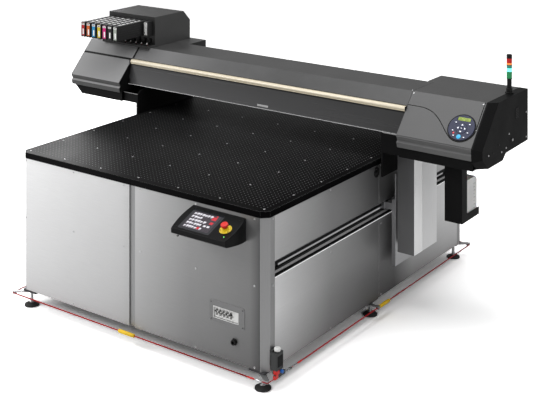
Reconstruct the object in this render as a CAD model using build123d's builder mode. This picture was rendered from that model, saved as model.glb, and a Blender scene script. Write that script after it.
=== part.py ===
from build123d import *
import os
from math import hypot

# Flatbed UV printer: a vacuum bed on a steel cabinet, with a printing gantry that travels along it.
# Millimetres. The origin is on the floor under the middle of the cabinet. +X is the operator's
# right, the operator stands on the -Y side, +Z is up.

os.makedirs("parts", exist_ok=True)

# ---------------------------------------------------------------- driving dimensions: cabinet
CAB_X = 903.0  # half width, over the side panels
CAB_Y = 1110.0  # half depth, over the front and rear panels
PANEL_LOW = 102.0
TABLE_TOP = 922.0
TABLE_THICK = 35.0
TABLE_LIP = 3.0  # overhang of the table past the panels
TABLE_SKIN = 10.0  # plate left over the pockets in the table's underside
SHEET = 2.0
POST_X = 37.0  # corner post, along X
POST_Y = 78.0  # corner post, along Y
CORNER = 37.0  # leg of the 45 degree corner
TUBE = 60.0  # frame section
TUBE_WALL = 5.0
FRAME_X = 820.0  # centre of the side members
FRAME_Y = 1060.0  # centre of the front and rear members
FOOT_X = 856.0
FOOT_Y = 1071.0
FOOT_PLATE_LOW = 90.0
FOOT_PLATE_THICK = 10.0
SLOT_LOW = 565.0  # long opening in each side, for the gantry's arms
SLOT_HIGH = 653.0
SLOT_END = 1028.0
SEAM_Y = 21.0  # joint between the front and rear side panels
GROOVE = (-34.0, 7.0)  # recessed strip between the front panels

# ---------------------------------------------------------------- driving dimensions: travel drive
RAIL_X = 850.0
RAIL_Z = 616.0
RAIL_SIZE = (15.0, 20.0)
SHAFT_Y = 985.0
SHAFT_Z = 562.0
SHAFT_R = 8.0
PULLEY_R = 18.0
BELT_GAP = 0.4
BELT_THICK = 2.1
BELT_X = 865.0
BELT_WIDTH = 16.0

# ---------------------------------------------------------------- driving dimensions: gantry
SLOPE_LOW = (-81.0, 1107.0)  # lower edge of the sloping front face, as Y and Z
SLOPE_HIGH = (121.0, 1322.0)
UNIT_TOP = SLOPE_HIGH[1]
END_REAR = 564.0
BEAM_REAR = 380.0
INNER_X = 1076.0  # inner edge of each end cover
LEFT_X = 1525.0  # outer edge of the left end cover
RIGHT_X = 1544.0  # outer edge of the right end cover
CAP_X = 1598.0  # outer face of the right end cap
BLOCK_LEFT = 836.0  # inner edge of the rear box on the left
BLOCK_RIGHT = 1030.0  # inner edge of the rear box on the right
BLOCK_LOW = 1090.0  # underside of the left rear box, clear of the table when the gantry is down
COVER_LOW = 1038.0
TRAY_LOW = 977.0
WALL = 4.0  # moulded cover wall
STRIP_LOW = 1250.0  # lower edge of the beam cover's sloping strip
LEG_X = (978.0, 1089.0)
LEG_Y = (109.0, 390.0)
LEG_LOW = 361.0
SKIRT_X = (948.0, 956.0)

# ---------------------------------------------------------------- driving dimensions: fittings
CARTRIDGE_COUNT = 8
CARTRIDGE_PITCH = 50.0
CARTRIDGE_FIRST = -1355.0
CARTRIDGE_SIZE = (36.0, 102.0)
CARTRIDGE_LOW = 1398.0
DISC_X = 1449.0
DISC_UP = 117.0  # centre of the control panel, measured up the slope
DISC_R = 78.0
ROPE_Z = 80.0
ROPE_X = 941.0
ROPE_Y = 1150.0
ROPE_R = 2.5
ROPE_BEND = 11.0

SIDES = (-1, 1)

# ---------------------------------------------------------------- shared geometry
slope_run = SLOPE_HIGH[0] - SLOPE_LOW[0]
slope_rise = SLOPE_HIGH[1] - SLOPE_LOW[1]
SLOPE_LENGTH = hypot(slope_run, slope_rise)
SLOPE_UP = (slope_run / SLOPE_LENGTH, slope_rise / SLOPE_LENGTH)
SLOPE_OUT = (-SLOPE_UP[1], SLOPE_UP[0])
# Sketch plane on the sloping face: local x runs along X, local y runs up the slope.
slope_plane = Plane(
    origin=(0, SLOPE_LOW[0], SLOPE_LOW[1]), x_dir=(1, 0, 0), z_dir=(0, SLOPE_OUT[0], SLOPE_OUT[1])
)


def on_slope(up, out=0.0):
    """Y and Z of a point a distance up the sloping face and a distance outside it."""
    y = SLOPE_LOW[0] + up * SLOPE_UP[0] + out * SLOPE_OUT[0]
    z = SLOPE_LOW[1] + up * SLOPE_UP[1] + out * SLOPE_OUT[1]
    return (y, z)


def block(x, y, z, mode=Mode.ADD):
    """Add or cut a box between two limits on each axis."""
    (x0, x1), (y0, y1), (z0, z1) = sorted(x), sorted(y), sorted(z)
    with Locations(((x0 + x1) / 2, (y0 + y1) / 2, (z0 + z1) / 2)):
        Box(x1 - x0, y1 - y0, z1 - z0, mode=mode)


def on_side(side, *values):
    """Mirror X limits given for the right-hand side."""
    return tuple(side * value for value in values)


def rod(centre, radius, length, direction, mode=Mode.ADD):
    """Add or cut a round bar centred on a point, along direction."""
    with Locations(Plane(origin=centre, z_dir=direction)):
        Cylinder(radius, length, mode=mode)


def outline(points, mode=Mode.ADD):
    """Fill a closed polygon in the current sketch."""
    Polygon(*points, align=None, mode=mode)


def finish(builder, label):
    """Label a finished piece and write it as one STEP file."""
    builder.part.label = label
    export_step(builder.part, f"parts/{label}.step")


# ================================================================ cabinet
TABLE_LOW = TABLE_TOP - TABLE_THICK
PANEL_HIGH = TABLE_LOW - 1.0
PLATE_TOP = FOOT_PLATE_LOW + FOOT_PLATE_THICK

# ---- welded frame of open channels, with foot plates and shaft hangers
LOW_Z = PLATE_TOP + TUBE / 2
RAIL_BEAM_Z = 620.0
TOP_Z = TABLE_LOW - TUBE / 2
MID_TOP_Z = TOP_Z - TUBE
HANGER_X = (815.0, 825.0)

with BuildPart() as base_frame:
    for side in SIDES:
        for level in (LOW_Z, RAIL_BEAM_Z, TOP_Z):
            with BuildSketch(Plane.XZ):
                with Locations((side * FRAME_X, level)):
                    Rectangle(TUBE, TUBE)
                with Locations((side * (FRAME_X - TUBE_WALL), level)):
                    Rectangle(TUBE, TUBE - 2 * TUBE_WALL, mode=Mode.SUBTRACT)
            extrude(amount=FRAME_Y + TUBE / 2, both=True)
        for place in (-FRAME_Y, 0, FRAME_Y):
            with BuildSketch(Plane.XY.offset(PLATE_TOP)):
                with Locations((side * FRAME_X, place)):
                    Rectangle(TUBE, TUBE)
                with Locations((side * (FRAME_X - TUBE_WALL), place)):
                    Rectangle(TUBE, TUBE - 2 * TUBE_WALL, mode=Mode.SUBTRACT)
            extrude(amount=TABLE_LOW - PLATE_TOP)
    for place, level in (
        (-FRAME_Y, LOW_Z),
        (0, LOW_Z),
        (FRAME_Y, LOW_Z),
        (-FRAME_Y, TOP_Z),
        (0, MID_TOP_Z),
        (FRAME_Y, TOP_Z),
    ):
        inward = -1 if place > 0 else 1
        with BuildSketch(Plane.YZ):
            with Locations((place, level)):
                Rectangle(TUBE, TUBE)
            with Locations((place + inward * TUBE_WALL, level)):
                Rectangle(TUBE, TUBE - 2 * TUBE_WALL, mode=Mode.SUBTRACT)
        extrude(amount=FRAME_X + TUBE / 2, both=True)
    with BuildSketch(Plane.XY.offset(FOOT_PLATE_LOW)):
        RectangleRounded(100, 60, 8)
    extrude(amount=FOOT_PLATE_THICK)
    for side in SIDES:
        for place in (-FRAME_Y - 10, 0, FRAME_Y + 10):
            with BuildSketch(Plane.XY.offset(FOOT_PLATE_LOW)):
                with Locations((side * 839.5, place)):
                    RectangleRounded(107, 74, 8)
            extrude(amount=FOOT_PLATE_THICK)
        for place in (-SHAFT_Y, SHAFT_Y):
            block(on_side(side, *HANGER_X), (place - 25, place + 25), (540, 595))
            rod((side * 820, place, SHAFT_Z), SHAFT_R + 0.3, 30, (1, 0, 0), Mode.SUBTRACT)
finish(base_frame, "base_frame")

# ---- levelling feet: a round pad and a threaded stem with its lock nut, and one at the centre
FOOT_PLACES = [(side * FOOT_X, place) for side in SIDES for place in (-FOOT_Y, 0, FOOT_Y)]
FOOT_PLACES.append((0, 0))
PAD_R = 43.5

with BuildPart() as levelling_feet:
    for x, y in FOOT_PLACES:
        with BuildSketch(Plane(origin=(x, y, 0), x_dir=(1, 0, 0), z_dir=(0, -1, 0))):
            outline(
                [
                    (0, 0),
                    (PAD_R, 0),
                    (PAD_R, 8),
                    (18, 21),
                    (SHAFT_R, 21),
                    (SHAFT_R, FOOT_PLATE_LOW),
                    (0, FOOT_PLATE_LOW),
                ]
            )
        revolve(axis=Axis((x, y, 0), (0, 0, 1)))
    with BuildSketch(Plane.XY.offset(FOOT_PLATE_LOW - 12)):
        with Locations(*FOOT_PLACES):
            RegularPolygon(13, 6)
    extrude(amount=12)
finish(levelling_feet, "levelling_feet")

# ---- vacuum table with chamfered corners
with BuildPart() as vacuum_table:
    with BuildSketch(Plane.XY.offset(TABLE_LOW)):
        Rectangle(2 * (CAB_X + TABLE_LIP), 2 * (CAB_Y + TABLE_LIP))
    extrude(amount=TABLE_THICK)
    chamfer(vacuum_table.edges().filter_by(Axis.Z), CORNER)
    chamfer(vacuum_table.faces().sort_by(Axis.Z)[-1].edges(), 1.5)
    with BuildSketch(Plane.XY.offset(TABLE_LOW)):
        with GridLocations(570, 528, 3, 4):
            Rectangle(545, 503)
    extrude(amount=TABLE_THICK - TABLE_SKIN, mode=Mode.SUBTRACT)
finish(vacuum_table, "vacuum_table")

# ---- vacuum plenum: an open-topped tray under the table, divided into zones
PLENUM_X = 784.0
PLENUM_Y = 1024.0
PLENUM_LOW = 829.0
DUCT_PLACE = (-300.0, 200.0)
DUCT_R = 30.0

with BuildPart() as vacuum_plenum:
    block((-PLENUM_X, PLENUM_X), (-PLENUM_Y, PLENUM_Y), (PLENUM_LOW, TABLE_LOW))
    with BuildSketch(Plane.XY.offset(TABLE_LOW)):
        with GridLocations(521, 511, 3, 4):
            Rectangle(513, 503)
    extrude(amount=-(TABLE_LOW - PLENUM_LOW - 4), mode=Mode.SUBTRACT)
    rod((*DUCT_PLACE, PLENUM_LOW), DUCT_R - 2, 20, (0, 0, 1), Mode.SUBTRACT)
finish(vacuum_plenum, "vacuum_plenum")

# ---- vacuum blower on its base plate, with the duct up to the plenum
BLOWER_Z = 300.0
BLOWER_R = 130.0

with BuildPart() as vacuum_blower:
    block((-430, -170), (-30, 330), (LOW_Z + TUBE / 2, LOW_Z + TUBE / 2 + 10))
    block((-400, -200), (120, 280), (LOW_Z + TUBE / 2 + 10, BLOWER_Z))
    rod((-300, 200, BLOWER_Z), BLOWER_R, 120, (1, 0, 0))
    rod((-150, 200, BLOWER_Z), 78, 200, (1, 0, 0))
    with BuildSketch(Plane.XY.offset(BLOWER_Z)):
        with Locations(DUCT_PLACE):
            Circle(DUCT_R)
    extrude(amount=PLENUM_LOW - BLOWER_Z)
    with BuildSketch(Plane.XY.offset(BLOWER_Z + 60)):
        with Locations(DUCT_PLACE):
            Circle(DUCT_R - 3)
    extrude(amount=PLENUM_LOW - BLOWER_Z - 60, mode=Mode.SUBTRACT)
finish(vacuum_blower, "vacuum_blower")

# ---- front panels: two folded sheets, the right one with its two cut-outs
RETURN = 16.0
BREAKER_X = (566.0, 726.0)
BREAKER_Z = (310.0, 364.0)
GLAND_PLACE = (703.0, 213.0)
GLAND_R = 12.0

with BuildPart() as front_panels:
    for low, high in ((-CAB_X + POST_X + 1, GROOVE[0] - 1), (GROOVE[1] + 1, CAB_X - POST_X - 1)):
        block((low, high), (-CAB_Y, -CAB_Y + RETURN), (PANEL_LOW + 2, PANEL_HIGH))
        block(
            (low + SHEET, high - SHEET),
            (-CAB_Y + SHEET, -CAB_Y + RETURN),
            (PANEL_LOW + 2 + SHEET, PANEL_HIGH - SHEET),
            Mode.SUBTRACT,
        )
    corner_edges = front_panels.edges().filter_by(Axis.Z).group_by(Axis.Y)[0]
    fillet(corner_edges, 1.5)
    block(BREAKER_X, (-CAB_Y - 1, -CAB_Y + 4), BREAKER_Z, Mode.SUBTRACT)
    rod((GLAND_PLACE[0], -CAB_Y, GLAND_PLACE[1]), GLAND_R + 0.2, 10, (0, 1, 0), Mode.SUBTRACT)
finish(front_panels, "front_panels")

# ---- side and rear panels: folded sheets above and below the side slots
PANEL_END = CAB_Y - POST_Y - 1

with BuildPart() as cabinet_panels:
    for side in SIDES:
        for y_low, y_high in ((-PANEL_END, SEAM_Y - 1), (SEAM_Y + 1, PANEL_END)):
            for z_low, z_high in ((PANEL_LOW + 2, SLOT_LOW), (SLOT_HIGH, PANEL_HIGH)):
                block(on_side(side, CAB_X - RETURN, CAB_X), (y_low, y_high), (z_low, z_high))
                block(
                    on_side(side, CAB_X - RETURN, CAB_X - SHEET),
                    (y_low + SHEET, y_high - SHEET),
                    (z_low + SHEET, z_high - SHEET),
                    Mode.SUBTRACT,
                )
        block(
            on_side(side, CAB_X - 24, CAB_X - 1),
            (-PANEL_END, PANEL_END),
            (SLOT_LOW - SHEET, SLOT_LOW),
        )
    for side in SIDES:
        low, high = sorted(on_side(side, 1, CAB_X - POST_X - 1))
        block((low, high), (CAB_Y - RETURN, CAB_Y), (PANEL_LOW + 2, PANEL_HIGH))
        block(
            (low + SHEET, high - SHEET),
            (CAB_Y - RETURN, CAB_Y - SHEET),
            (PANEL_LOW + 2 + SHEET, PANEL_HIGH - SHEET),
            Mode.SUBTRACT,
        )
        with BuildSketch(Plane.XZ.offset(-CAB_Y - 1)):
            with Locations((side * 430, 640)):
                with GridLocations(0, 22, 1, 9):
                    SlotOverall(260, 8)
        extrude(amount=RETURN, mode=Mode.SUBTRACT)
finish(cabinet_panels, "cabinet_panels")

# ---- corner posts with a 45 degree face, and the recessed strip between the front panels
with BuildPart() as panel_posts:
    for side in SIDES:
        for end in SIDES:
            with BuildSketch(Plane.XY.offset(PLATE_TOP)):
                outline(
                    [
                        (side * (CAB_X - POST_X), end * CAB_Y),
                        (side * CAB_X, end * (CAB_Y - CORNER)),
                        (side * CAB_X, end * (CAB_Y - POST_Y)),
                        (side * (CAB_X - 18), end * (CAB_Y - POST_Y)),
                        (side * (CAB_X - 18), end * (CAB_Y - CORNER - 12)),
                        (side * (CAB_X - POST_X), end * (CAB_Y - 18)),
                    ]
                )
            extrude(amount=PANEL_HIGH - PLATE_TOP)
    block(
        (GROOVE[0] + 1, GROOVE[1] - 1),
        (-CAB_Y + 9, -FRAME_Y - TUBE / 2),
        (PANEL_LOW + 2, PANEL_HIGH),
    )
finish(panel_posts, "panel_posts")

# ---- pan-head screws that hold the panels, with a hexagon socket each
HEAD_R = 5.5
HEAD_HIGH = 2.2
FRONT_COLUMNS = (-865, -467, -77, 47, 443, 831)
SIDE_COLUMNS = (-1049, -505, 43, 560, 1049)
REAR_COLUMNS = (-840, -430, -30, 30, 430, 840)
ROWS = (115, 533, 875)

with BuildPart() as panel_screws:
    for level in ROWS:
        for place in FRONT_COLUMNS:
            head = (place, -CAB_Y - HEAD_HIGH / 2, level)
            rod(head, HEAD_R, HEAD_HIGH, (0, 1, 0))
        for place in REAR_COLUMNS:
            head = (place, CAB_Y + HEAD_HIGH / 2, level)
            rod(head, HEAD_R, HEAD_HIGH, (0, 1, 0))
        for side in SIDES:
            for place in SIDE_COLUMNS:
                head = (side * (CAB_X + HEAD_HIGH / 2), place, level)
                rod(head, HEAD_R, HEAD_HIGH, (1, 0, 0))
    with BuildSketch(Plane.XZ.offset(CAB_Y + HEAD_HIGH)):
        for level in ROWS:
            for place in FRONT_COLUMNS:
                with Locations((place, level)):
                    RegularPolygon(2.6, 6)
    extrude(amount=-1.4, mode=Mode.SUBTRACT)
    for side in SIDES:
        with BuildSketch(Plane.YZ.offset(side * (CAB_X + HEAD_HIGH))):
            for level in ROWS:
                for place in SIDE_COLUMNS:
                    with Locations((place, level)):
                        RegularPolygon(2.6, 6)
        extrude(amount=-side * 1.4, mode=Mode.SUBTRACT)
finish(panel_screws, "panel_screws")

# ================================================================ travel drive
# ---- linear rails on the outside of the frame's middle members
with BuildPart() as guide_rails:
    for side in SIDES:
        block(
            on_side(side, RAIL_X, RAIL_X + RAIL_SIZE[0]),
            (-SLOT_END, SLOT_END),
            (RAIL_Z - RAIL_SIZE[1] / 2, RAIL_Z + RAIL_SIZE[1] / 2),
        )
        block(
            on_side(side, RAIL_X + 4, RAIL_X + 9),
            (-SLOT_END, SLOT_END),
            (RAIL_Z + RAIL_SIZE[1] / 2 - 2.5, RAIL_Z + RAIL_SIZE[1] / 2),
            Mode.SUBTRACT,
        )
finish(guide_rails, "guide_rails")

# ---- belt loops round the front and rear pulleys
BELT_IN = PULLEY_R + BELT_GAP
BELT_OUT = BELT_IN + BELT_THICK

with BuildPart() as travel_belts:
    for side in SIDES:
        with BuildSketch(Plane.YZ.offset(side * BELT_X - BELT_WIDTH / 2)):
            with Locations((0, SHAFT_Z)):
                SlotCenterToCenter(2 * SHAFT_Y, 2 * BELT_OUT)
                SlotCenterToCenter(2 * SHAFT_Y, 2 * BELT_IN, mode=Mode.SUBTRACT)
        extrude(amount=BELT_WIDTH)
finish(travel_belts, "travel_belts")

# ---- cross shafts, each with a flanged pulley at both ends
SHAFT_HALF = 877.0
with BuildPart() as drive_shaft:
    rod((0, SHAFT_Y, SHAFT_Z), SHAFT_R, 2 * SHAFT_HALF, (1, 0, 0))
    for side in SIDES:
        rod((side * BELT_X, SHAFT_Y, SHAFT_Z), PULLEY_R, BELT_WIDTH + 2, (1, 0, 0))
        rod((side * (BELT_X + 10.5), SHAFT_Y, SHAFT_Z), PULLEY_R + 2, 3, (1, 0, 0))
        rod((side * (BELT_X - 10.5), SHAFT_Y, SHAFT_Z), PULLEY_R + 2, 3, (1, 0, 0))
    block((-30, 30), (SHAFT_Y + 5.5, SHAFT_Y + 9), (SHAFT_Z - 3, SHAFT_Z + 3), Mode.SUBTRACT)
finish(drive_shaft, "drive_shaft")

with BuildPart() as idler_shaft:
    rod((0, -SHAFT_Y, SHAFT_Z), SHAFT_R, 2 * SHAFT_HALF, (1, 0, 0))
    for side in SIDES:
        rod((side * BELT_X, -SHAFT_Y, SHAFT_Z), PULLEY_R, BELT_WIDTH + 2, (1, 0, 0))
        rod((side * (BELT_X + 10.5), -SHAFT_Y, SHAFT_Z), PULLEY_R + 2, 3, (1, 0, 0))
        rod((side * (BELT_X - 10.5), -SHAFT_Y, SHAFT_Z), PULLEY_R + 2, 3, (1, 0, 0))
finish(idler_shaft, "idler_shaft")

# ---- hollow-shaft gear motor on its plate, driving the rear shaft
with BuildPart() as travel_motor:
    block((-60, 60), (SHAFT_Y - 50, SHAFT_Y + 50), (SHAFT_Z - 50, SHAFT_Z + 50))
    block((-50, 50), (SHAFT_Y + 50, SHAFT_Y + 56), (LOW_Z + TUBE / 2, SHAFT_Z + 50))
    rod((0, SHAFT_Y, SHAFT_Z - 130), 42, 160, (0, 0, 1))
    rod((0, SHAFT_Y, SHAFT_Z - 222), 36, 24, (0, 0, 1))
    rod((0, SHAFT_Y, SHAFT_Z), SHAFT_R + 0.05, 130, (1, 0, 0), Mode.SUBTRACT)
finish(travel_motor, "travel_motor")

# ================================================================ service fittings on the front
# ---- operator console: a wedge with bowed ends on the front panel
CONSOLE_X = (424.0, 776.0)
CONSOLE_BACK = -CAB_Y
CONSOLE_FRONT = -1290.0
CONSOLE_HIGH = 868.0
CONSOLE_EDGE = 800.0
CONSOLE_BOW = 12.0
CONSOLE_MID = (CONSOLE_BACK + CONSOLE_FRONT) / 2
console_run = CONSOLE_BACK - CONSOLE_FRONT
console_drop = CONSOLE_HIGH - CONSOLE_EDGE
console_length = hypot(console_run, console_drop)
CONSOLE_OUT = (-console_drop / console_length, console_run / console_length)
# Sketch plane on the console's top: local x runs along X, local y runs up the slope.
console_plane = Plane(
    origin=(0, CONSOLE_FRONT, CONSOLE_EDGE), x_dir=(1, 0, 0), z_dir=(0, CONSOLE_OUT[0], CONSOLE_OUT[1])
)
SCREEN_PLACE = (557.0, 91.0)
SCREEN_SIZE = (206.0, 152.0)
ESTOP_PLACE = (724.0, 82.0)

with BuildPart() as console_housing:
    with BuildSketch(Plane.XY.offset(700)):
        with BuildLine():
            Line((CONSOLE_X[0], CONSOLE_FRONT), (CONSOLE_X[1], CONSOLE_FRONT))
            ThreePointArc(
                (CONSOLE_X[1], CONSOLE_FRONT),
                (CONSOLE_X[1] + CONSOLE_BOW, CONSOLE_MID),
                (CONSOLE_X[1], CONSOLE_BACK),
            )
            Line((CONSOLE_X[1], CONSOLE_BACK), (CONSOLE_X[0], CONSOLE_BACK))
            ThreePointArc(
                (CONSOLE_X[0], CONSOLE_BACK),
                (CONSOLE_X[0] - CONSOLE_BOW, CONSOLE_MID),
                (CONSOLE_X[0], CONSOLE_FRONT),
            )
        make_face()
    extrude(amount=200)
    with BuildSketch(Plane.YZ.offset(CONSOLE_X[0] - 20)):
        outline(
            [
                (CONSOLE_BACK, CONSOLE_HIGH),
                (CONSOLE_FRONT, CONSOLE_EDGE),
                (CONSOLE_FRONT, CONSOLE_EDGE - 26),
                (CONSOLE_FRONT + 12, CONSOLE_EDGE - 34),
                (CONSOLE_BACK, CONSOLE_HIGH - 119),
            ]
        )
    extrude(amount=CONSOLE_X[1] - CONSOLE_X[0] + 40, mode=Mode.INTERSECT)
    top_edges = console_housing.faces().sort_by(Axis.Z)[-1].edges()
    fillet(top_edges.filter_by(lambda edge: edge.center().Y < CONSOLE_BACK - 5), 5)
    with BuildSketch(console_plane):
        with Locations(SCREEN_PLACE):
            RectangleRounded(SCREEN_SIZE[0], SCREEN_SIZE[1], 6)
    extrude(amount=-4, mode=Mode.SUBTRACT)
    with BuildSketch(console_plane.offset(-1)):
        with Locations(ESTOP_PLACE):
            Circle(12.5)
    extrude(amount=-30, mode=Mode.SUBTRACT)
    with BuildSketch(console_plane.offset(1)):
        with Locations(ESTOP_PLACE):
            Circle(13)
    extrude(amount=-2.5, mode=Mode.SUBTRACT)
finish(console_housing, "console_housing")

with BuildPart() as console_screen:
    with BuildSketch(console_plane.offset(-4)):
        with Locations(SCREEN_PLACE):
            RectangleRounded(SCREEN_SIZE[0] - 1, SCREEN_SIZE[1] - 1, 5.5)
    extrude(amount=3.4)
finish(console_screen, "console_screen")

# ---- emergency stop: a yellow ring and a red mushroom button that pushes in
with BuildPart() as estop_collar:
    with BuildSketch(console_plane):
        with Locations(ESTOP_PLACE):
            Circle(25.5)
            Circle(13, mode=Mode.SUBTRACT)
    extrude(amount=3)
    with BuildSketch(console_plane.offset(3)):
        with Locations(ESTOP_PLACE):
            Circle(18)
            Circle(13, mode=Mode.SUBTRACT)
    extrude(amount=11)
    fillet(estop_collar.edges().group_by(SortBy.LENGTH)[-1], 1.2)
finish(estop_collar, "estop_collar")

with BuildPart() as estop_button:
    with BuildSketch(console_plane.offset(-18)):
        with Locations(ESTOP_PLACE):
            Circle(11)
    extrude(amount=40)
    with BuildSketch(console_plane.offset(21)):
        with Locations(ESTOP_PLACE):
            Circle(20)
    extrude(amount=15)
    cap_rims = estop_button.edges().group_by(SortBy.LENGTH)[-1]
    fillet(cap_rims, 5)
finish(estop_button, "estop_button")

# ---- access plate over the breakers, with four corner screws
PLATE_X = (537.0, 768.0)
PLATE_Z = (285.0, 398.0)
with BuildPart() as access_plate:
    with BuildSketch(Plane.XZ.offset(CAB_Y)):
        with Locations((sum(PLATE_X) / 2, sum(PLATE_Z) / 2)):
            RectangleRounded(PLATE_X[1] - PLATE_X[0], PLATE_Z[1] - PLATE_Z[0], 10)
        with Locations((sum(BREAKER_X) / 2, sum(BREAKER_Z) / 2)):
            Rectangle(BREAKER_X[1] - BREAKER_X[0], BREAKER_Z[1] - BREAKER_Z[0], mode=Mode.SUBTRACT)
    extrude(amount=2)
    with BuildSketch(Plane.XZ.offset(CAB_Y + 2)):
        with Locations((sum(PLATE_X) / 2, sum(PLATE_Z) / 2)):
            with GridLocations(207, 89, 2, 2):
                Circle(4.5)
    extrude(amount=1.8)
finish(access_plate, "access_plate")

# ---- five-pole breaker and its tied handle
HANDLE_PIVOT = (-CAB_Y + 11, 337.0)  # Y and Z of the handle's pivot
with BuildPart() as breaker_block:
    block(
        (BREAKER_X[0] + 1, BREAKER_X[1] - 1),
        (-CAB_Y + 2, -CAB_Y + 60),
        (BREAKER_Z[0] + 1, BREAKER_Z[1] - 1),
    )
    block((574, 692), (-CAB_Y + 1, -CAB_Y + 18), (320, 354), Mode.SUBTRACT)
finish(breaker_block, "breaker_block")

with BuildPart() as breaker_handle:
    rod((633, *HANDLE_PIVOT), 4, 116, (1, 0, 0))
    for pole in range(5):
        with BuildSketch(Plane.YZ.offset(578 + 23 * pole)):
            outline(
                [
                    (HANDLE_PIVOT[0] + 1, HANDLE_PIVOT[1] - 3.5),
                    (HANDLE_PIVOT[0] + 1, HANDLE_PIVOT[1] + 3.5),
                    (HANDLE_PIVOT[0] - 20, HANDLE_PIVOT[1] + 12),
                    (HANDLE_PIVOT[0] - 22, HANDLE_PIVOT[1] + 7),
                ]
            )
        extrude(amount=14)
    block((578, 684), (HANDLE_PIVOT[0] - 21, HANDLE_PIVOT[0] - 17), (345.5, 348.5))
finish(breaker_handle, "breaker_handle")

# ---- mains cable gland: body, flange and nut round a clear bore
GLAND_BORE = 8.0
with BuildPart() as cable_gland:
    rod((GLAND_PLACE[0], -CAB_Y + 8, GLAND_PLACE[1]), GLAND_R, 16, (0, 1, 0))
    with BuildSketch(Plane.XZ.offset(CAB_Y)):
        with Locations(GLAND_PLACE):
            RegularPolygon(18, 6)
    extrude(amount=8)
    rod((GLAND_PLACE[0], -CAB_Y - 12.5, GLAND_PLACE[1]), 14, 9, (0, 1, 0))
    with BuildSketch(Plane.XZ.offset(CAB_Y + 20)):
        with Locations(GLAND_PLACE):
            Circle(GLAND_BORE)
    extrude(amount=-40, mode=Mode.SUBTRACT)
finish(cable_gland, "cable_gland")

# ================================================================ pull-rope emergency stop
# ---- outrigger arms with a grooved sheave at the corners and an eye at mid side
ARM_LOW = ROPE_Z + 4.0
SHEAVE_X = ROPE_X - ROPE_BEND
SHEAVE_Y = ROPE_Y - ROPE_BEND
EYE_Y = -57.0
with BuildPart() as rope_brackets:
    for side in SIDES:
        for end in SIDES:
            with BuildSketch(Plane.XY.offset(ARM_LOW)):
                outline(
                    [
                        (side * 850, end * 1100),
                        (side * 876, end * 1076),
                        (side * (SHEAVE_X + 11), end * (SHEAVE_Y - 8)),
                        (side * (SHEAVE_X + 11), end * (SHEAVE_Y + 11)),
                        (side * (SHEAVE_X - 8), end * (SHEAVE_Y + 11)),
                    ]
                )
                with Locations((side * FOOT_X, end * FOOT_Y)):
                    Circle(16, mode=Mode.SUBTRACT)
            extrude(amount=FOOT_PLATE_LOW - ARM_LOW)
            rod((side * SHEAVE_X, end * SHEAVE_Y, ROPE_Z), 8.2, 8, (0, 0, 1))
            rod((side * SHEAVE_X, end * SHEAVE_Y, ROPE_Z - 5), 12, 2, (0, 0, 1))
        block(on_side(side, 876, 952), (-70, -44), (ARM_LOW + 1, FOOT_PLATE_LOW))
        block(on_side(side, 876, 893), (-70, -30), (ARM_LOW + 1, FOOT_PLATE_LOW))
        block(on_side(side, 930, 952), (EYE_Y - 5, EYE_Y + 5), (ROPE_Z - 8, ARM_LOW + 1))
        rod((side * ROPE_X, EYE_Y, ROPE_Z), 3.6, 20, (0, 1, 0), Mode.SUBTRACT)
finish(rope_brackets, "rope_brackets")

# ---- red steel rope once round the machine, from the hook to the switch lever
ROPE_START = -935.0
ROPE_END = -1096.0
with BuildPart() as safety_rope:
    with BuildLine(Plane.XY.offset(ROPE_Z)) as rope_path:
        FilletPolyline(
            (ROPE_X, ROPE_START),
            (ROPE_X, ROPE_Y),
            (-ROPE_X, ROPE_Y),
            (-ROPE_X, -ROPE_Y),
            (ROPE_X, -ROPE_Y),
            (ROPE_X, ROPE_END),
            radius=ROPE_BEND,
        )
    with BuildSketch(Plane(origin=rope_path.line @ 0, z_dir=rope_path.line % 0)):
        Circle(ROPE_R)
    sweep(path=rope_path.line)
finish(safety_rope, "safety_rope")

# ---- pull switch on the front right post: bracket, housing, lens, lever and rope hook
SWITCH_X = (916.0, 953.0)
SWITCH_Y = (-1085.0, -1024.0)
SWITCH_Z = (118.0, 203.0)
LEVER_FACE = 949.0
KNOB_PLACE = (-1046.0, 107.0)  # Y and Z of the reset knob
switch_mid_x = sum(SWITCH_X) / 2
switch_mid_y = sum(SWITCH_Y) / 2
with BuildPart() as rope_switch:
    block((CAB_X, SWITCH_X[0]), (-1070, -1034), (130, 215))
    block(SWITCH_X, SWITCH_Y, SWITCH_Z)
    fillet(rope_switch.edges().filter_by(Axis.Z).group_by(Axis.X)[-1], 6)
    rod((switch_mid_x, switch_mid_y, SWITCH_Z[1] + 9), 15, 18, (0, 0, 1))
    block((922, LEVER_FACE), (-1080, -1032), (96, SWITCH_Z[0]))
    block((934, 948), (-1092, -1000), (ROPE_Z - 4, 96))
    rod((ROPE_X, -980, ROPE_Z), 3, 44, (0, 1, 0))
    rod((LEVER_FACE - 5, *KNOB_PLACE), 5.5, 11, (1, 0, 0), Mode.SUBTRACT)
    with BuildSketch(Plane.XY.offset(ROPE_Z - 2)):
        with Locations((ROPE_X, -949)):
            SlotOverall(26, 16, rotation=90)
            SlotOverall(18, 8, rotation=90, mode=Mode.SUBTRACT)
    extrude(amount=4)
finish(rope_switch, "rope_switch")

with BuildPart() as rope_switch_knob:
    rod((LEVER_FACE + 10, *KNOB_PLACE), 9, 12, (1, 0, 0))
    fillet(rope_switch_knob.faces().sort_by(Axis.X)[-1].edges(), 3)
    rod((LEVER_FACE - 1, *KNOB_PLACE), 5, 14, (1, 0, 0))
finish(rope_switch_knob, "rope_switch_knob")

# ================================================================ travelling side frames
ARM_Z = (597.0, 635.0)
BLOCK_X = (853.0, 885.0)
WEB_X = (959.0, 965.0)
WEB_TOP = 815.0
WEB_LOW = 274.0

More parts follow.
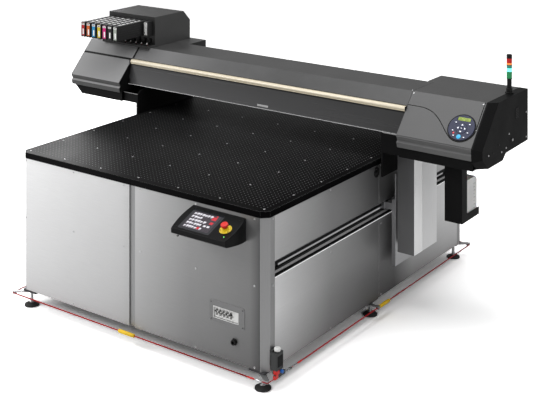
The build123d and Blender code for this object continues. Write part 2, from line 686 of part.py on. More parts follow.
# ---- side plates with a front flange and the arm that passes through the slot
with BuildPart() as side_frames:
    for side in SIDES:
        block(on_side(side, *WEB_X), (LEG_Y[0] + 3, LEG_Y[1]), (WEB_LOW, WEB_TOP))
        block(on_side(side, 940, WEB_X[1]), (LEG_Y[0] - 1, LEG_Y[0] + 3), (WEB_LOW, 665))
        block(on_side(side, BLOCK_X[1], WEB_X[0]), (120, 380), ARM_Z)
        block(
            on_side(side, BLOCK_X[1] + 8, WEB_X[0]),
            (126, 374),
            (ARM_Z[0], ARM_Z[1] - 8),
            Mode.SUBTRACT,
        )
        for place in (130, 190, 310, 370):
            block(on_side(side, BLOCK_X[1], WEB_X[0]), (place - 4, place + 4), ARM_Z)
finish(side_frames, "side_frames")

# ---- recirculating bearing blocks, with the belt clamp
with BuildPart() as bearing_blocks:
    for side in SIDES:
        for place in (160, 340):
            block(on_side(side, *BLOCK_X), (place - 45, place + 45), (592, 640))
        block(on_side(side, BLOCK_X[0], BLOCK_X[1]), (235, 265), (BELT_OUT + SHAFT_Z + 0.3, 596))
        block(on_side(side, RAIL_X, RAIL_X + RAIL_SIZE[0] + 0.3), (100, 400), (605.7, 626.3), Mode.SUBTRACT)
        block(on_side(side, 872, BLOCK_X[1]), (205, 295), (600, 632))
        block(on_side(side, 872, BLOCK_X[1]), (235, 265), (590, 604))
finish(bearing_blocks, "bearing_blocks")

# ---- telescopic lift columns: outer tubes with brackets to the side plates
COLUMN_X = (990.0, 1060.0)
COLUMN_Y = (200.0, 270.0)
LIFT_ROD = 50.0
column_mid_x = sum(COLUMN_X) / 2
column_mid_y = sum(COLUMN_Y) / 2
with BuildPart() as lift_columns:
    for side in SIDES:
        block(on_side(side, *COLUMN_X), COLUMN_Y, (380, WEB_TOP))
        for level in (430, 700):
            block(on_side(side, WEB_X[1], COLUMN_X[0]), (190, 280), (level, level + 60))
        half = LIFT_ROD / 2 + 2
        block(
            on_side(side, column_mid_x - half, column_mid_x + half),
            (column_mid_y - half, column_mid_y + half),
            (390, WEB_TOP + 1),
            Mode.SUBTRACT,
        )
finish(lift_columns, "lift_columns")

# ================================================================ printing unit: structure
BEAM_Y = (200.0, 320.0)
BEAM_Z = (1190.0, 1290.0)
BEAM_HALF = 1440.0
SHIM = 0.5  # space for the shim between the beam and each bolted lift rod

# ---- box beam, and the inner lift rods that carry it
with BuildPart() as gantry_beam:
    block((-BEAM_HALF, BEAM_HALF), BEAM_Y, BEAM_Z)
    block(
        (-BEAM_HALF, BEAM_HALF),
        (BEAM_Y[0] + 6, BEAM_Y[1] - 6),
        (BEAM_Z[0] + 6, BEAM_Z[1] - 6),
        Mode.SUBTRACT,
    )
    for side in SIDES:
        block(
            on_side(side, column_mid_x - LIFT_ROD / 2, column_mid_x + LIFT_ROD / 2),
            (column_mid_y - LIFT_ROD / 2, column_mid_y + LIFT_ROD / 2),
            (560, BEAM_Z[0] - SHIM),
        )
finish(gantry_beam, "gantry_beam")

# ---- base trays under each end, with the inner skirt plate and the rod opening
TRAY_THICK = 6.0
TRAY_REAR = 400.0
TRAY_OUT = {-1: 1454.0, 1: 1540.0}
with BuildPart() as base_trays:
    for side in SIDES:
        outer = TRAY_OUT[side]
        block(on_side(side, SKIRT_X[0], outer), (-31, TRAY_REAR), (TRAY_LOW, TRAY_LOW + TRAY_THICK))
        block(on_side(side, INNER_X, outer), (-50, -31), (TRAY_LOW, TRAY_LOW + TRAY_THICK))
        block(on_side(side, INNER_X, outer), (-50, -46), (TRAY_LOW, COVER_LOW - 2))
        block(on_side(side, SKIRT_X[0], INNER_X - 1), (-31, -27), (TRAY_LOW, 1093 if side > 0 else 1036))
        block(on_side(side, INNER_X, outer), (TRAY_REAR, END_REAR - 6), (1014, 1020))
        block(on_side(side, SKIRT_X[0], outer), (TRAY_REAR - 4, TRAY_REAR), (TRAY_LOW, 1020))
        with BuildSketch(Plane.YZ.offset(side * SKIRT_X[0])):
            outline([(-31, 833), (-31, 1036), (0, 1060), (560, 1060), (560, 833)])
        extrude(amount=side * (SKIRT_X[1] - SKIRT_X[0]))
        half = LIFT_ROD / 2 + 1
        block(
            on_side(side, column_mid_x - half, column_mid_x + half),
            (column_mid_y - half, column_mid_y + half),
            (TRAY_LOW - 1, TRAY_LOW + TRAY_THICK + 1),
            Mode.SUBTRACT,
        )
finish(base_trays, "base_trays")

# ---- leg covers: sheet channels round the lift columns, open towards the side plates
with BuildPart() as leg_covers:
    for side in SIDES:
        block(on_side(side, *LEG_X), LEG_Y, (LEG_LOW, TRAY_LOW))
        block(
            on_side(side, LEG_X[0], LEG_X[1] - SHEET),
            (LEG_Y[0] + SHEET, LEG_Y[1] - SHEET),
            (LEG_LOW - 1, TRAY_LOW - SHEET),
            Mode.SUBTRACT,
        )
        half = LIFT_ROD / 2 + 1
        block(
            on_side(side, column_mid_x - half, column_mid_x + half),
            (column_mid_y - half, column_mid_y + half),
            (TRAY_LOW - 4, TRAY_LOW + 1),
            Mode.SUBTRACT,
        )
        block(on_side(side, LEG_X[1] - 0.8, LEG_X[1]), (208, 210.5), (LEG_LOW, TRAY_LOW), Mode.SUBTRACT)
    fillet(leg_covers.edges().filter_by(Axis.Z).filter_by(lambda edge: edge.center().Y < LEG_Y[0] + 1), 0.8)
finish(leg_covers, "leg_covers")

# ================================================================ printing unit: covers
strip_up = (STRIP_LOW - SLOPE_LOW[1]) / SLOPE_UP[1]
STRIP_FOOT = on_slope(strip_up)

# ---- beam cover: a bent sheet with the sloping front strip, the top and the rear
inner_foot = on_slope(strip_up, -3)
inner_bend = on_slope(strip_up + (UNIT_TOP - 3 - inner_foot[1]) / SLOPE_UP[1], -3)
with BuildPart() as top_cover:
    with BuildSketch(Plane.YZ):
        outline(
            [
                STRIP_FOOT,
                SLOPE_HIGH,
                (BEAM_REAR, UNIT_TOP),
                (BEAM_REAR, 1170),
                (BEAM_REAR - 3, 1170),
                (BEAM_REAR - 3, UNIT_TOP - 3),
                inner_bend,
                inner_foot,
            ]
        )
    extrude(amount=INNER_X - 2, both=True)
    outer_bends = top_cover.edges().filter_by(Axis.X).group_by(Axis.Z)[-1]
    fillet(outer_bends.sort_by(Axis.Y)[0], 3)
finish(top_cover, "top_cover")

# ---- ivory light bar under the strip
BAR_TOP = STRIP_LOW - 4.0
BAR_LOW = 1222.0
with BuildPart() as light_bar:
    with BuildSketch(Plane.YZ):
        with BuildLine():
            Line((56, BAR_LOW), (56, BAR_TOP))
            Line((56, BAR_TOP), (46, BAR_TOP))
            ThreePointArc((46, BAR_TOP), (31, (BAR_TOP + BAR_LOW) / 2 + 3), (36, BAR_LOW))
            Line((36, BAR_LOW), (56, BAR_LOW))
        make_face()
    extrude(amount=INNER_X - 2, both=True)
finish(light_bar, "light_bar")

# ---- front window: a smoked sheet hung from the light bar
WINDOW_PIVOT = (41.0, 1214.0)
WINDOW_FOOT = (13.0, 1087.0)
with BuildPart() as front_window:
    with BuildSketch(Plane.YZ):
        outline(
            [
                (WINDOW_PIVOT[0] - 3, WINDOW_PIVOT[1]),
                (WINDOW_PIVOT[0] + 2, WINDOW_PIVOT[1]),
                (WINDOW_FOOT[0] + 5, WINDOW_FOOT[1]),
                (WINDOW_FOOT[0], WINDOW_FOOT[1]),
            ]
        )
    extrude(amount=INNER_X - 3, both=True)
    rod((0, *WINDOW_PIVOT), 4, 2 * (INNER_X - 3), (1, 0, 0))
    block(
        (-INNER_X + 3, INNER_X - 3),
        (WINDOW_FOOT[0] - 2, WINDOW_FOOT[0] + 8),
        (WINDOW_FOOT[1] - 2, WINDOW_FOOT[1] + 2),
    )
finish(front_window, "front_window")

# ---- end covers: moulded shells with the sloping face, the bumper and the rear box
END_PROFILE = [
    (-70, COVER_LOW),
    (-78, 1068),
    (-67, 1078),
    SLOPE_LOW,
    SLOPE_HIGH,
    (END_REAR, UNIT_TOP),
    (END_REAR, 1022),
    (END_REAR - WALL, 1022),
    (END_REAR - WALL, UNIT_TOP - WALL),
    (on_slope(290, -WALL)[0], UNIT_TOP - WALL),
    on_slope(6, -WALL),
    (-62, 1078),
    (-73, 1067),
    (-65, COVER_LOW),
]
with BuildPart() as left_end_cover:
    with BuildSketch(Plane.YZ.offset(-LEFT_X)):
        outline(END_PROFILE)
    extrude(amount=LEFT_X - INNER_X)
    with BuildSketch(Plane.YZ.offset(-LEFT_X)):
        outline(END_PROFILE[:7])
    extrude(amount=WALL)
    block((-INNER_X, -BLOCK_LEFT), (BEAM_REAR + 2, END_REAR), (BLOCK_LOW, UNIT_TOP))
    block(
        (-INNER_X - 1, -BLOCK_LEFT - WALL),
        (BEAM_REAR + 2 + WALL, END_REAR - WALL),
        (BLOCK_LOW - 1, UNIT_TOP - WALL),
        Mode.SUBTRACT,
    )
    with BuildSketch(slope_plane.offset(-2)):
        with Locations((-(LEFT_X + INNER_X) / 2, 189)):
            Rectangle(LEFT_X - INNER_X + 10, 15)
    extrude(amount=10, mode=Mode.SUBTRACT)
finish(left_end_cover, "left_end_cover")

# The right cover is parted along a curve that sweeps down under the control panel.
PART_HIGH = 205.0
PART_EDGE = 1534.0
disc_clear = PART_EDGE - DISC_X


def parting_region(gap):
    """Draw the lower cover's outline on the slope, drawn in from the parting curve by gap."""
    with BuildLine() as region:
        radius = disc_clear + gap
        lead_in = (1150, PART_HIGH - gap)
        touch = (DISC_X - radius * 0.62, DISC_UP - radius * 0.7846)
        under = (DISC_X + radius, DISC_UP)
        Line((INNER_X - 5, -5), (INNER_X - 5, PART_HIGH - gap))
        Line((INNER_X - 5, PART_HIGH - gap), lead_in)
        Spline(lead_in, touch, tangents=((1, 0), (0.7846, -0.62)))
        ThreePointArc(touch, (DISC_X + radius * 0.6, DISC_UP - radius * 0.8), under)
        Line(under, (DISC_X + radius, SLOPE_LENGTH - 2))
        Line((DISC_X + radius, SLOPE_LENGTH - 2), (RIGHT_X + 5, SLOPE_LENGTH - 2))
        Line((RIGHT_X + 5, SLOPE_LENGTH - 2), (RIGHT_X + 5, -5))
        Line((RIGHT_X + 5, -5), (INNER_X - 5, -5))
    make_face(region.edges())


with BuildPart() as right_end_cover:
    with BuildSketch(Plane.YZ.offset(INNER_X)):
        outline(END_PROFILE)
    extrude(amount=RIGHT_X - INNER_X)
    with BuildSketch(Plane.YZ.offset(RIGHT_X - WALL)):
        outline(END_PROFILE[:7])
    extrude(amount=WALL)
    block((BLOCK_RIGHT, INNER_X), (BEAM_REAR + 2, END_REAR), (1022, UNIT_TOP))
    block(
        (BLOCK_RIGHT + WALL, INNER_X + 1),
        (BEAM_REAR + 2 + WALL, END_REAR - WALL),
        (1021, UNIT_TOP - WALL),
        Mode.SUBTRACT,
    )
    with BuildSketch(slope_plane.offset(-WALL)):
        parting_region(0)
    extrude(amount=WALL + 4, mode=Mode.SUBTRACT)
    with BuildSketch(slope_plane.offset(1)):
        with Locations((DISC_X, DISC_UP)):
            Circle(DISC_R + 0.5)
    extrude(amount=-WALL - 8, mode=Mode.SUBTRACT)
finish(right_end_cover, "right_end_cover")

with BuildPart() as right_front_cover:
    with BuildSketch(slope_plane.offset(-WALL + 0.2)):
        parting_region(4.5)
    extrude(amount=WALL - 0.2)
    # Trim the blank to the cover's edges.
    with BuildSketch(slope_plane.offset(-WALL)):
        with Locations(((INNER_X + RIGHT_X) / 2, SLOPE_LENGTH / 2)):
            Rectangle(RIGHT_X - INNER_X, SLOPE_LENGTH - 10)
    extrude(amount=WALL + 1, mode=Mode.INTERSECT)
finish(right_front_cover, "right_front_cover")

# ---- end plates: a flat sheet on the left, a chamfered cap on the right, and a web at the front of
# each end cover's inner edge, clear of the carriage's path
CAP_PROFILE = [
    (-22, 984),
    (214, 984),
    (259, 1016),
    (566, 1020),
    (566, UNIT_TOP),
    SLOPE_HIGH,
    SLOPE_LOW,
    (-76, 1032),
]
WEB_PROFILE = [
    (-60, 1042),
    (-67, 1067),
    (-56, 1080),
    (-68, 1110),
    (114, 1308),
    (114, 1275),
    (60, 1215),
    (60, 1042),
]
with BuildPart() as end_plates:
    with BuildSketch(Plane.YZ.offset(-LEFT_X - 3)):
        outline(END_PROFILE[:7])
    extrude(amount=3)
    with BuildSketch(Plane.YZ.offset(RIGHT_X)):
        outline(CAP_PROFILE)
    extrude(amount=CAP_X - RIGHT_X)
    outer_edges = end_plates.faces().sort_by(Axis.X)[-1].edges()
    front_edges = outer_edges.filter_by(lambda edge: edge.center().Y < 100 and edge.center().Z > 1000)
    chamfer(front_edges, length=46, length2=30)
    with BuildSketch(Plane.YZ.offset(RIGHT_X)):
        outline([(120, 1040), (540, 1040), (540, UNIT_TOP - 14), (230, UNIT_TOP - 14), (120, 1200)])
    extrude(amount=CAP_X - RIGHT_X - 8, mode=Mode.SUBTRACT)
    for side in SIDES:
        with BuildSketch(Plane.YZ.offset(side * (INNER_X + 1))):
            outline(WEB_PROFILE)
        extrude(amount=side * 3)
finish(end_plates, "end_plates")

# ================================================================ ink supply
BAY_X = (-1396.0, -965.0)
BAY_Y = (165.0, 542.0)
BAY_Z = (UNIT_TOP, 1527.0)
CARTRIDGE_HIGH = CARTRIDGE_LOW + CARTRIDGE_SIZE[1]
CARTRIDGE_PLACES = [CARTRIDGE_FIRST + CARTRIDGE_PITCH * slot for slot in range(CARTRIDGE_COUNT)]

# ---- ink bay: a cabinet with one pocket for each cartridge and a shelf below them
with BuildPart() as ink_bay:
    with BuildSketch(Plane.YZ.offset(BAY_X[0])):
        outline(
            [
                (BAY_Y[0], BAY_Z[0]),
                (BAY_Y[1], BAY_Z[0]),
                (BAY_Y[1], BAY_Z[1] - 70),
                (BAY_Y[1] - 70, BAY_Z[1]),
                (BAY_Y[0], BAY_Z[1]),
            ]
        )
    extrude(amount=BAY_X[1] - BAY_X[0])
    block((BAY_X[0], BAY_X[1]), (95, BAY_Y[0]), (BAY_Z[0], BAY_Z[0] + 14))
    for place in CARTRIDGE_PLACES:
        block(
            (place - CARTRIDGE_SIZE[0] / 2 - 1.5, place + CARTRIDGE_SIZE[0] / 2 + 1.5),
            (BAY_Y[0] - 1, 300),
            (CARTRIDGE_LOW - 1.5, CARTRIDGE_HIGH + 1.5),
            Mode.SUBTRACT,
        )
        block((place - 14, place + 14), (BAY_Y[0] - 1, 200), (1350, 1380), Mode.SUBTRACT)
    block((BAY_X[0] + 6, BAY_X[1] - 6), (306, 536), (BAY_Z[0] - 1, BAY_Z[1] - 76), Mode.SUBTRACT)
finish(ink_bay, "ink_bay")

# ---- ink cartridges: seven long ones and a short one in the last slot
for slot, place in enumerate(CARTRIDGE_PLACES):
    front = -140.0 if slot < CARTRIDGE_COUNT - 1 else 112.0
    with BuildPart() as ink_cartridge:
        block(
            (place - CARTRIDGE_SIZE[0] / 2, place + CARTRIDGE_SIZE[0] / 2),
            (front, 285),
            (CARTRIDGE_LOW, CARTRIDGE_HIGH),
        )
        long_edges = ink_cartridge.edges().filter_by(Axis.Y)
        fillet(long_edges, 3)
        front_face = ink_cartridge.faces().sort_by(Axis.Y)[0]
        fillet(front_face.edges(), 2)
        # finger notch under the nose
        block(
            (place - 10, place + 10),
            (front, front + 12),
            (CARTRIDGE_LOW - 1, CARTRIDGE_LOW + 6),
            Mode.SUBTRACT,
        )
    finish(ink_cartridge, f"ink_cartridge_{slot + 1}")

# ================================================================ signal tower
TOWER_PLACE = (1555.0, 400.0)
with BuildPart() as signal_tower:
    with BuildSketch(Plane.XY.offset(UNIT_TOP)):
        with Locations(TOWER_PLACE):
            Circle(25)
    extrude(amount=7)
    with BuildSketch(Plane.XY.offset(UNIT_TOP + 7)):
        with Locations(TOWER_PLACE):
            Circle(18)
    extrude(amount=22)
    with BuildSketch(Plane.XY.offset(UNIT_TOP + 29)):
        with Locations(TOWER_PLACE):
            Circle(13.5)
    extrude(amount=57)
    with BuildSketch(Plane.XY.offset(1526)):
        with Locations(TOWER_PLACE):
            Circle(15.5)
    extrude(amount=21)
    fillet(signal_tower.faces().sort_by(Axis.Z)[-1].edges(), 3)
finish(signal_tower, "signal_tower")

with BuildPart() as tower_lenses:
    for level in (UNIT_TOP + 86, UNIT_TOP + 125.5, UNIT_TOP + 165):
        with BuildSketch(Plane.XY.offset(level)):
            with Locations(TOWER_PLACE):
                Circle(15.5)
        extrude(amount=39)
finish(tower_lenses, "tower_lenses")

# ================================================================ control panel
PAD_PLACE = (1451.0, 112.0)
with BuildPart() as control_panel:
    with BuildSketch(slope_plane.offset(-WALL)):
        with Locations((DISC_X, DISC_UP)):
            Circle(DISC_R)
    extrude(amount=WALL + 5)
    fillet(control_panel.faces().sort_by(Axis.Z)[-1].edges(), 2)
    with BuildSketch(slope_plane.offset(-1)):
        with Locations(PAD_PLACE):
            Circle(33)
    extrude(amount=8, mode=Mode.SUBTRACT)
    with BuildSketch(slope_plane.offset(4)):
        with Locations((1451, 169)):
            RectangleRounded(84, 28, 4)
    extrude(amount=4, mode=Mode.SUBTRACT)
finish(control_panel, "control_panel")

with BuildPart() as arrow_pad:
    with BuildSketch(slope_plane.offset(1)):
        with Locations(PAD_PLACE):
            Circle(32)
            Circle(11, mode=Mode.SUBTRACT)
    extrude(amount=6)
    fillet(arrow_pad.faces().sort_by(Axis.Z)[-1].outer_wire().edges(), 1.5)
finish(arrow_pad, "arrow_pad")

with BuildPart() as enter_key:
    with BuildSketch(slope_plane.offset(1)):
        with Locations(PAD_PLACE):
            Circle(10)
    extrude(amount=6.5)
    fillet(enter_key.faces().sort_by(Axis.Z)[-1].edges(), 1.5)
finish(enter_key, "enter_key")

# ================================================================ waste ink
HOLDER_X = (1300.0, 1410.0)
HOLDER_Y = (83.0, 302.0)
HOLDER_LOW = 620.0
with BuildPart() as bottle_holder:
    block(HOLDER_X, HOLDER_Y, (HOLDER_LOW, TRAY_LOW))
    block(
        (HOLDER_X[0] + 3, HOLDER_X[1] - 3),
        (HOLDER_Y[0] + 3, HOLDER_Y[1] + 1),
        (HOLDER_LOW + 3, TRAY_LOW + 1),
        Mode.SUBTRACT,
    )
    block(
        (HOLDER_X[1] - 4, HOLDER_X[1] + 1),
        (HOLDER_Y[0] + 64, HOLDER_Y[1] + 1),
        (HOLDER_LOW + 43, TRAY_LOW + 1),
        Mode.SUBTRACT,
    )
finish(bottle_holder, "bottle_holder")

BOTTLE_LOW = HOLDER_LOW + 3.5
with BuildPart() as waste_bottle:
    block((HOLDER_X[0] + 6, HOLDER_X[1] - 5), (95, 290), (BOTTLE_LOW, 850))
    chamfer(waste_bottle.faces().sort_by(Axis.Z)[-1].edges().filter_by(Axis.X), 28)
    fillet(waste_bottle.edges().filter_by(Axis.Z), 10)
    rod((sum(HOLDER_X) / 2, 192, 862), 19, 24, (0, 0, 1))
    rod((sum(HOLDER_X) / 2, 192, 882), 23, 18, (0, 0, 1))
finish(waste_bottle, "waste_bottle")

# ================================================================ print carriage
SCAN_RAIL_Z = 1235.0
HOME_X = 1250.0
CARRIAGE_HALF = 120.0
HEAD_LOW = 1074.0
with BuildPart() as carriage_rail:
    block((-1430, 1430), (BEAM_Y[0] - 12, BEAM_Y[0]), (SCAN_RAIL_Z - 10, SCAN_RAIL_Z + 10))
    block((-1430, 1430), (BEAM_Y[0] - 3, BEAM_Y[0]), (SCAN_RAIL_Z - 40, SCAN_RAIL_Z - 22))
finish(carriage_rail, "carriage_rail")

with BuildPart() as print_carriage:
    with BuildSketch(Plane.YZ.offset(HOME_X - CARRIAGE_HALF)):
        outline([(64, 1100), (64, 1200), (84, 1225), (178, 1225), (178, 1100)])
    extrude(amount=2 * CARRIAGE_HALF)
    block((HOME_X - 70, HOME_X + 70), (178, BEAM_Y[0] - 4), (1205, 1265))
    block(
        (HOME_X - 71, HOME_X + 71),
        (BEAM_Y[0] - 12.3, BEAM_Y[0]),
        (SCAN_RAIL_Z - 10.3, SCAN_RAIL_Z + 10.3),
        Mode.SUBTRACT,
    )
    block((HOME_X - 110, HOME_X + 110), (74, 168), (1110, 1213), Mode.SUBTRACT)
finish(print_carriage, "print_carriage")

with BuildPart() as print_heads:
    for place in (HOME_X - 78, HOME_X, HOME_X + 78):
        block((place - 32, place + 32), (76, 166), (HEAD_LOW + 4, 1100))
        block((place - 26, place + 26), (84, 158), (HEAD_LOW, HEAD_LOW + 4))
finish(print_heads, "print_heads")

with BuildPart() as uv_lamps:
    for side in SIDES:
        inner = HOME_X + side * CARRIAGE_HALF
        outer = HOME_X + side * (CARRIAGE_HALF + 56)
        block((inner, outer), (72, 170), (1086, 1196))
        with BuildSketch(Plane.XY.offset(1196)):
            with Locations(((inner + outer) / 2, 121)):
                with GridLocations(0, 14, 1, 6):
                    Rectangle(40, 6)
        extrude(amount=-20, mode=Mode.SUBTRACT)
finish(uv_lamps, "uv_lamps")

with BuildPart() as capping_station:
    block((HOME_X - 115, HOME_X + 115), (66, 176), (TRAY_LOW + TRAY_THICK, 1040))
    for place in (HOME_X - 78, HOME_X, HOME_X + 78):
        block((place - 32, place + 32), (78, 164), (1040, HEAD_LOW - 1.5))
        block((place - 28, place + 28), (82, 160), (1050, HEAD_LOW), Mode.SUBTRACT)
finish(capping_station, "capping_station")
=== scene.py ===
import math

import bmesh
import bpy
from mathutils import Matrix, Vector


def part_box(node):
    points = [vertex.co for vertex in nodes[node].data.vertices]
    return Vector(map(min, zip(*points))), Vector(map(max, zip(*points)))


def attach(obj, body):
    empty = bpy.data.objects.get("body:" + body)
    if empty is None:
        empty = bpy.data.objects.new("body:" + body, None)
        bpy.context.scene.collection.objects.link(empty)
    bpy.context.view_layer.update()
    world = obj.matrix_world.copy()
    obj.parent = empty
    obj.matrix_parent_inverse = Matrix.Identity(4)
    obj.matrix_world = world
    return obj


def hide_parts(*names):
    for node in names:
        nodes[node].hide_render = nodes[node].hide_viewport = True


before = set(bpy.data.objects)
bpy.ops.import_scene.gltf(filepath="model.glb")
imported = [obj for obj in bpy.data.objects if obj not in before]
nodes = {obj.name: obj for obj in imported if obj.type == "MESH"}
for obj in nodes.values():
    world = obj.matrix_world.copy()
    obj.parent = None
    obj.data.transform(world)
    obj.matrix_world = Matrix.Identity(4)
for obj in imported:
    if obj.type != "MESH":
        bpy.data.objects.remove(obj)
scene = bpy.context.scene
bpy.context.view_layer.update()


# ================================================================ node material kit
class Graph:
    """A material's node tree, with short calls for the nodes used here."""

    def __init__(self, name):
        self.material = bpy.data.materials.new(name)
        self.material.use_nodes = True
        self.tree = self.material.node_tree
        self.tree.nodes.clear()
        self.out = self.add("ShaderNodeOutputMaterial")
        self.shader = self.add("ShaderNodeBsdfPrincipled")
        self.link(self.shader.outputs[0], self.out.inputs[0])
        self.coord = self.add("ShaderNodeTexCoord").outputs["Object"]

    def add(self, kind, **settings):
        node = self.tree.nodes.new(kind)
        for key, value in settings.items():
            setattr(node, key, value)
        return node

    def link(self, source, target):
        self.tree.links.new(source, target)

    def put(self, target, value):
        if hasattr(value, "is_linked"):
            self.link(value, target)
        else:
            target.default_value = value

    def scaled(self, scale, rotation=(0, 0, 0)):
        mapping = self.add("ShaderNodeMapping")
        mapping.inputs["Scale"].default_value = scale
        mapping.inputs["Rotation"].default_value = rotation
        self.link(self.coord, mapping.inputs["Vector"])
        return mapping.outputs[0]

    def noise(self, scale, detail=3, rough=0.55, stretch=(1, 1, 1)):
        node = self.add("ShaderNodeTexNoise")
        node.inputs["Scale"].default_value = scale
        node.inputs["Detail"].default_value = detail
        node.inputs["Roughness"].default_value = rough
        self.link(self.scaled(stretch), node.inputs["Vector"])
        return node.outputs["Fac"]

    def span(self, value, low, high, out_low, out_high):
        node = self.add("ShaderNodeMapRange")
        self.put(node.inputs["Value"], value)
        for key, number in (("From Min", low), ("From Max", high), ("To Min", out_low), ("To Max", out_high)):
            node.inputs[key].default_value = number
        return node.outputs[0]

    def sway(self, noise, out_low, out_high):
        """A noise's middle range, spread over two levels."""
        return self.span(noise, 0.3, 0.7, out_low, out_high)

    def calc(self, operation, a, b=0.0):
        node = self.add("ShaderNodeMath", operation=operation)
        self.put(node.inputs[0], a)
        self.put(node.inputs[1], b)
        return node.outputs[0]

    def mix(self, factor, a, b):
        node = self.add("ShaderNodeMix", data_type="RGBA")
        self.put(node.inputs[0], factor)
        self.put(node.inputs[6], a if hasattr(a, "is_linked") else (*a[:3], 1))
        self.put(node.inputs[7], b if hasattr(b, "is_linked") else (*b[:3], 1))
        return node.outputs[2]

    def axis(self, name):
        node = self.add("ShaderNodeSeparateXYZ")
        self.link(self.coord, node.inputs[0])
        return node.outputs[name]

    def ramp(self, value, low, high, *stops):
        """A curve through (position, level) stops, with positions on the same scale as low and high."""
        node = self.add("ShaderNodeValToRGB")
        self.link(self.span(value, low, high, 0.0, 1.0), node.inputs[0])
        bar = node.color_ramp.elements
        while len(bar) < len(stops):
            bar.new(0.5)
        for element, (position, level) in zip(bar, stops):
            element.position = (position - low) / (high - low)
            element.color = (level, level, level, 1)
        return node.outputs[0]

    def times(self, base, level):
        node = self.add("ShaderNodeMix", data_type="RGBA", blend_type="MULTIPLY")
        node.inputs[0].default_value = 1.0
        self.put(node.inputs[6], base)
        self.put(node.inputs[7], level)
        return node.outputs[2]

    def facing(self, direction, low, high):
        """One on faces whose normal is near direction, in the object's own frame."""
        dot = self.add("ShaderNodeVectorMath", operation="DOT_PRODUCT")
        coord = self.add("ShaderNodeTexCoord")
        self.link(coord.outputs["Normal"], dot.inputs[0])
        dot.inputs[1].default_value = direction
        return self.span(dot.outputs["Value"], low, high, 0.0, 1.0)

    def bump(self, height, strength, distance, soft_edge=0.0):
        node = self.add("ShaderNodeBump")
        node.inputs["Strength"].default_value = strength
        node.inputs["Distance"].default_value = distance
        self.link(height, node.inputs["Height"])
        if soft_edge:
            bevel = self.add("ShaderNodeBevel", samples=4)
            bevel.inputs["Radius"].default_value = soft_edge
            self.link(bevel.outputs[0], node.inputs["Normal"])
        self.link(node.outputs[0], self.shader.inputs["Normal"])

    def set(self, **values):
        for key, value in values.items():
            self.put(self.shader.inputs[key.replace("_", " ")], value)


def grey(level):
    return (level, level, level)


def edge_mask(g, radius, low=0.02, high=0.25):
    """One along sharp edges, zero on flat faces."""
    bevel = g.add("ShaderNodeBevel", samples=4)
    bevel.inputs["Radius"].default_value = radius
    geometry = g.add("ShaderNodeNewGeometry")
    dot = g.add("ShaderNodeVectorMath", operation="DOT_PRODUCT")
    g.link(bevel.outputs[0], dot.inputs[0])
    g.link(geometry.outputs["Normal"], dot.inputs[1])
    bend = g.calc("SUBTRACT", 1.0, dot.outputs["Value"])
    return g.span(bend, low, high, 0.0, 1.0)


def edge_wear_and_highlight(g, base, radius, amount, colour):
    """Base with its sharp edges blended toward another colour, as a painted highlight along the edges."""
    return g.mix(g.calc("MULTIPLY", edge_mask(g, radius), amount), base, colour)


def mottled_rough(g, mottle, fine, rough):
    """Roughness that wanders a little with the mottling and the grain."""
    return g.calc("ADD", g.sway(mottle, rough - 0.05, rough + 0.05), g.calc("MULTIPLY", fine, 0.04))


def plastic(
    name, colour, rough=0.45, grain=900, depth=0.00012, wear_and_highlight=0.25, edge=None, coat=0.0, soft=0.0012, shine=0.30
):
    """Moulded or textured plastic and fine-texture paint: grain, faint mottling, and lighter edges that are
    partly rubbed and partly a painted highlight.
    """
    g = Graph(name)
    mottle = g.noise(6, 4)
    fine = g.noise(grain, 2)
    dark = [c * 0.86 for c in colour]
    light = [min(1, c * 1.13) for c in colour]
    base = g.mix(g.sway(mottle, 0, 1), dark, light)
    edge_wear_and_highlight = edge or [min(1, c * 1.6 + 0.03) for c in colour]
    # lighter edges: partly rubbed, partly a painted highlight
    mask = g.calc("MULTIPLY", edge_mask(g, soft), g.span(g.noise(40, 3), 0.35, 0.65, 0.35, 1.0))
    base = g.mix(g.calc("MULTIPLY", mask, wear_and_highlight), base, edge_wear_and_highlight)
    g.set(Base_Color=base, Roughness=mottled_rough(g, mottle, fine, rough))
    g.set(Coat_Weight=coat, Specular_IOR_Level=shine)
    g.bump(fine, 0.35, depth, soft)
    return g.material


def metal(
    name, colour, rough=0.36, metallic=0.85, along=(1, 1, 60), grain=14, wear_and_highlight=0.5, soft=0.0012, shade=None
):
    """Satin sheet or machined metal with brushing along one axis and bright edges, which are a painted
    highlight.
    """
    g = Graph(name)
    brush = g.noise(grain, 6, 0.65, along)
    cloud = g.noise(2.2, 3)
    dark = [c * 0.93 for c in colour]
    light = [min(1, c * 1.07) for c in colour]
    base = g.mix(g.sway(brush, 0, 1), dark, light)
    base = g.mix(g.span(cloud, 0.35, 0.65, 0, 0.12), base, [c * 0.8 for c in colour])
    if shade:
        base = shade(g, base)
    # painted highlight: a brighter tone for the sharp edges
    bright = [min(1, c * 1.45 + 0.08) for c in colour]
    base = edge_wear_and_highlight(g, base, soft, wear_and_highlight, bright)
    g.set(Base_Color=base, Metallic=metallic, Roughness=g.span(brush, 0.25, 0.75, rough - 0.06, rough + 0.07))
    g.bump(brush, 0.12, 0.00008, soft)
    return g.material


def rubber(name, colour, rough=0.72):
    g = Graph(name)
    fine = g.noise(1400, 3)
    dust = g.noise(25, 4)
    base = g.mix(g.span(dust, 0.5, 0.75, 0, 0.35), colour, [c * 1.5 + 0.03 for c in colour])
    g.set(Base_Color=base, Roughness=g.sway(dust, rough - 0.08, rough + 0.08))
    g.bump(fine, 0.3, 0.0001, 0.001)
    return g.material


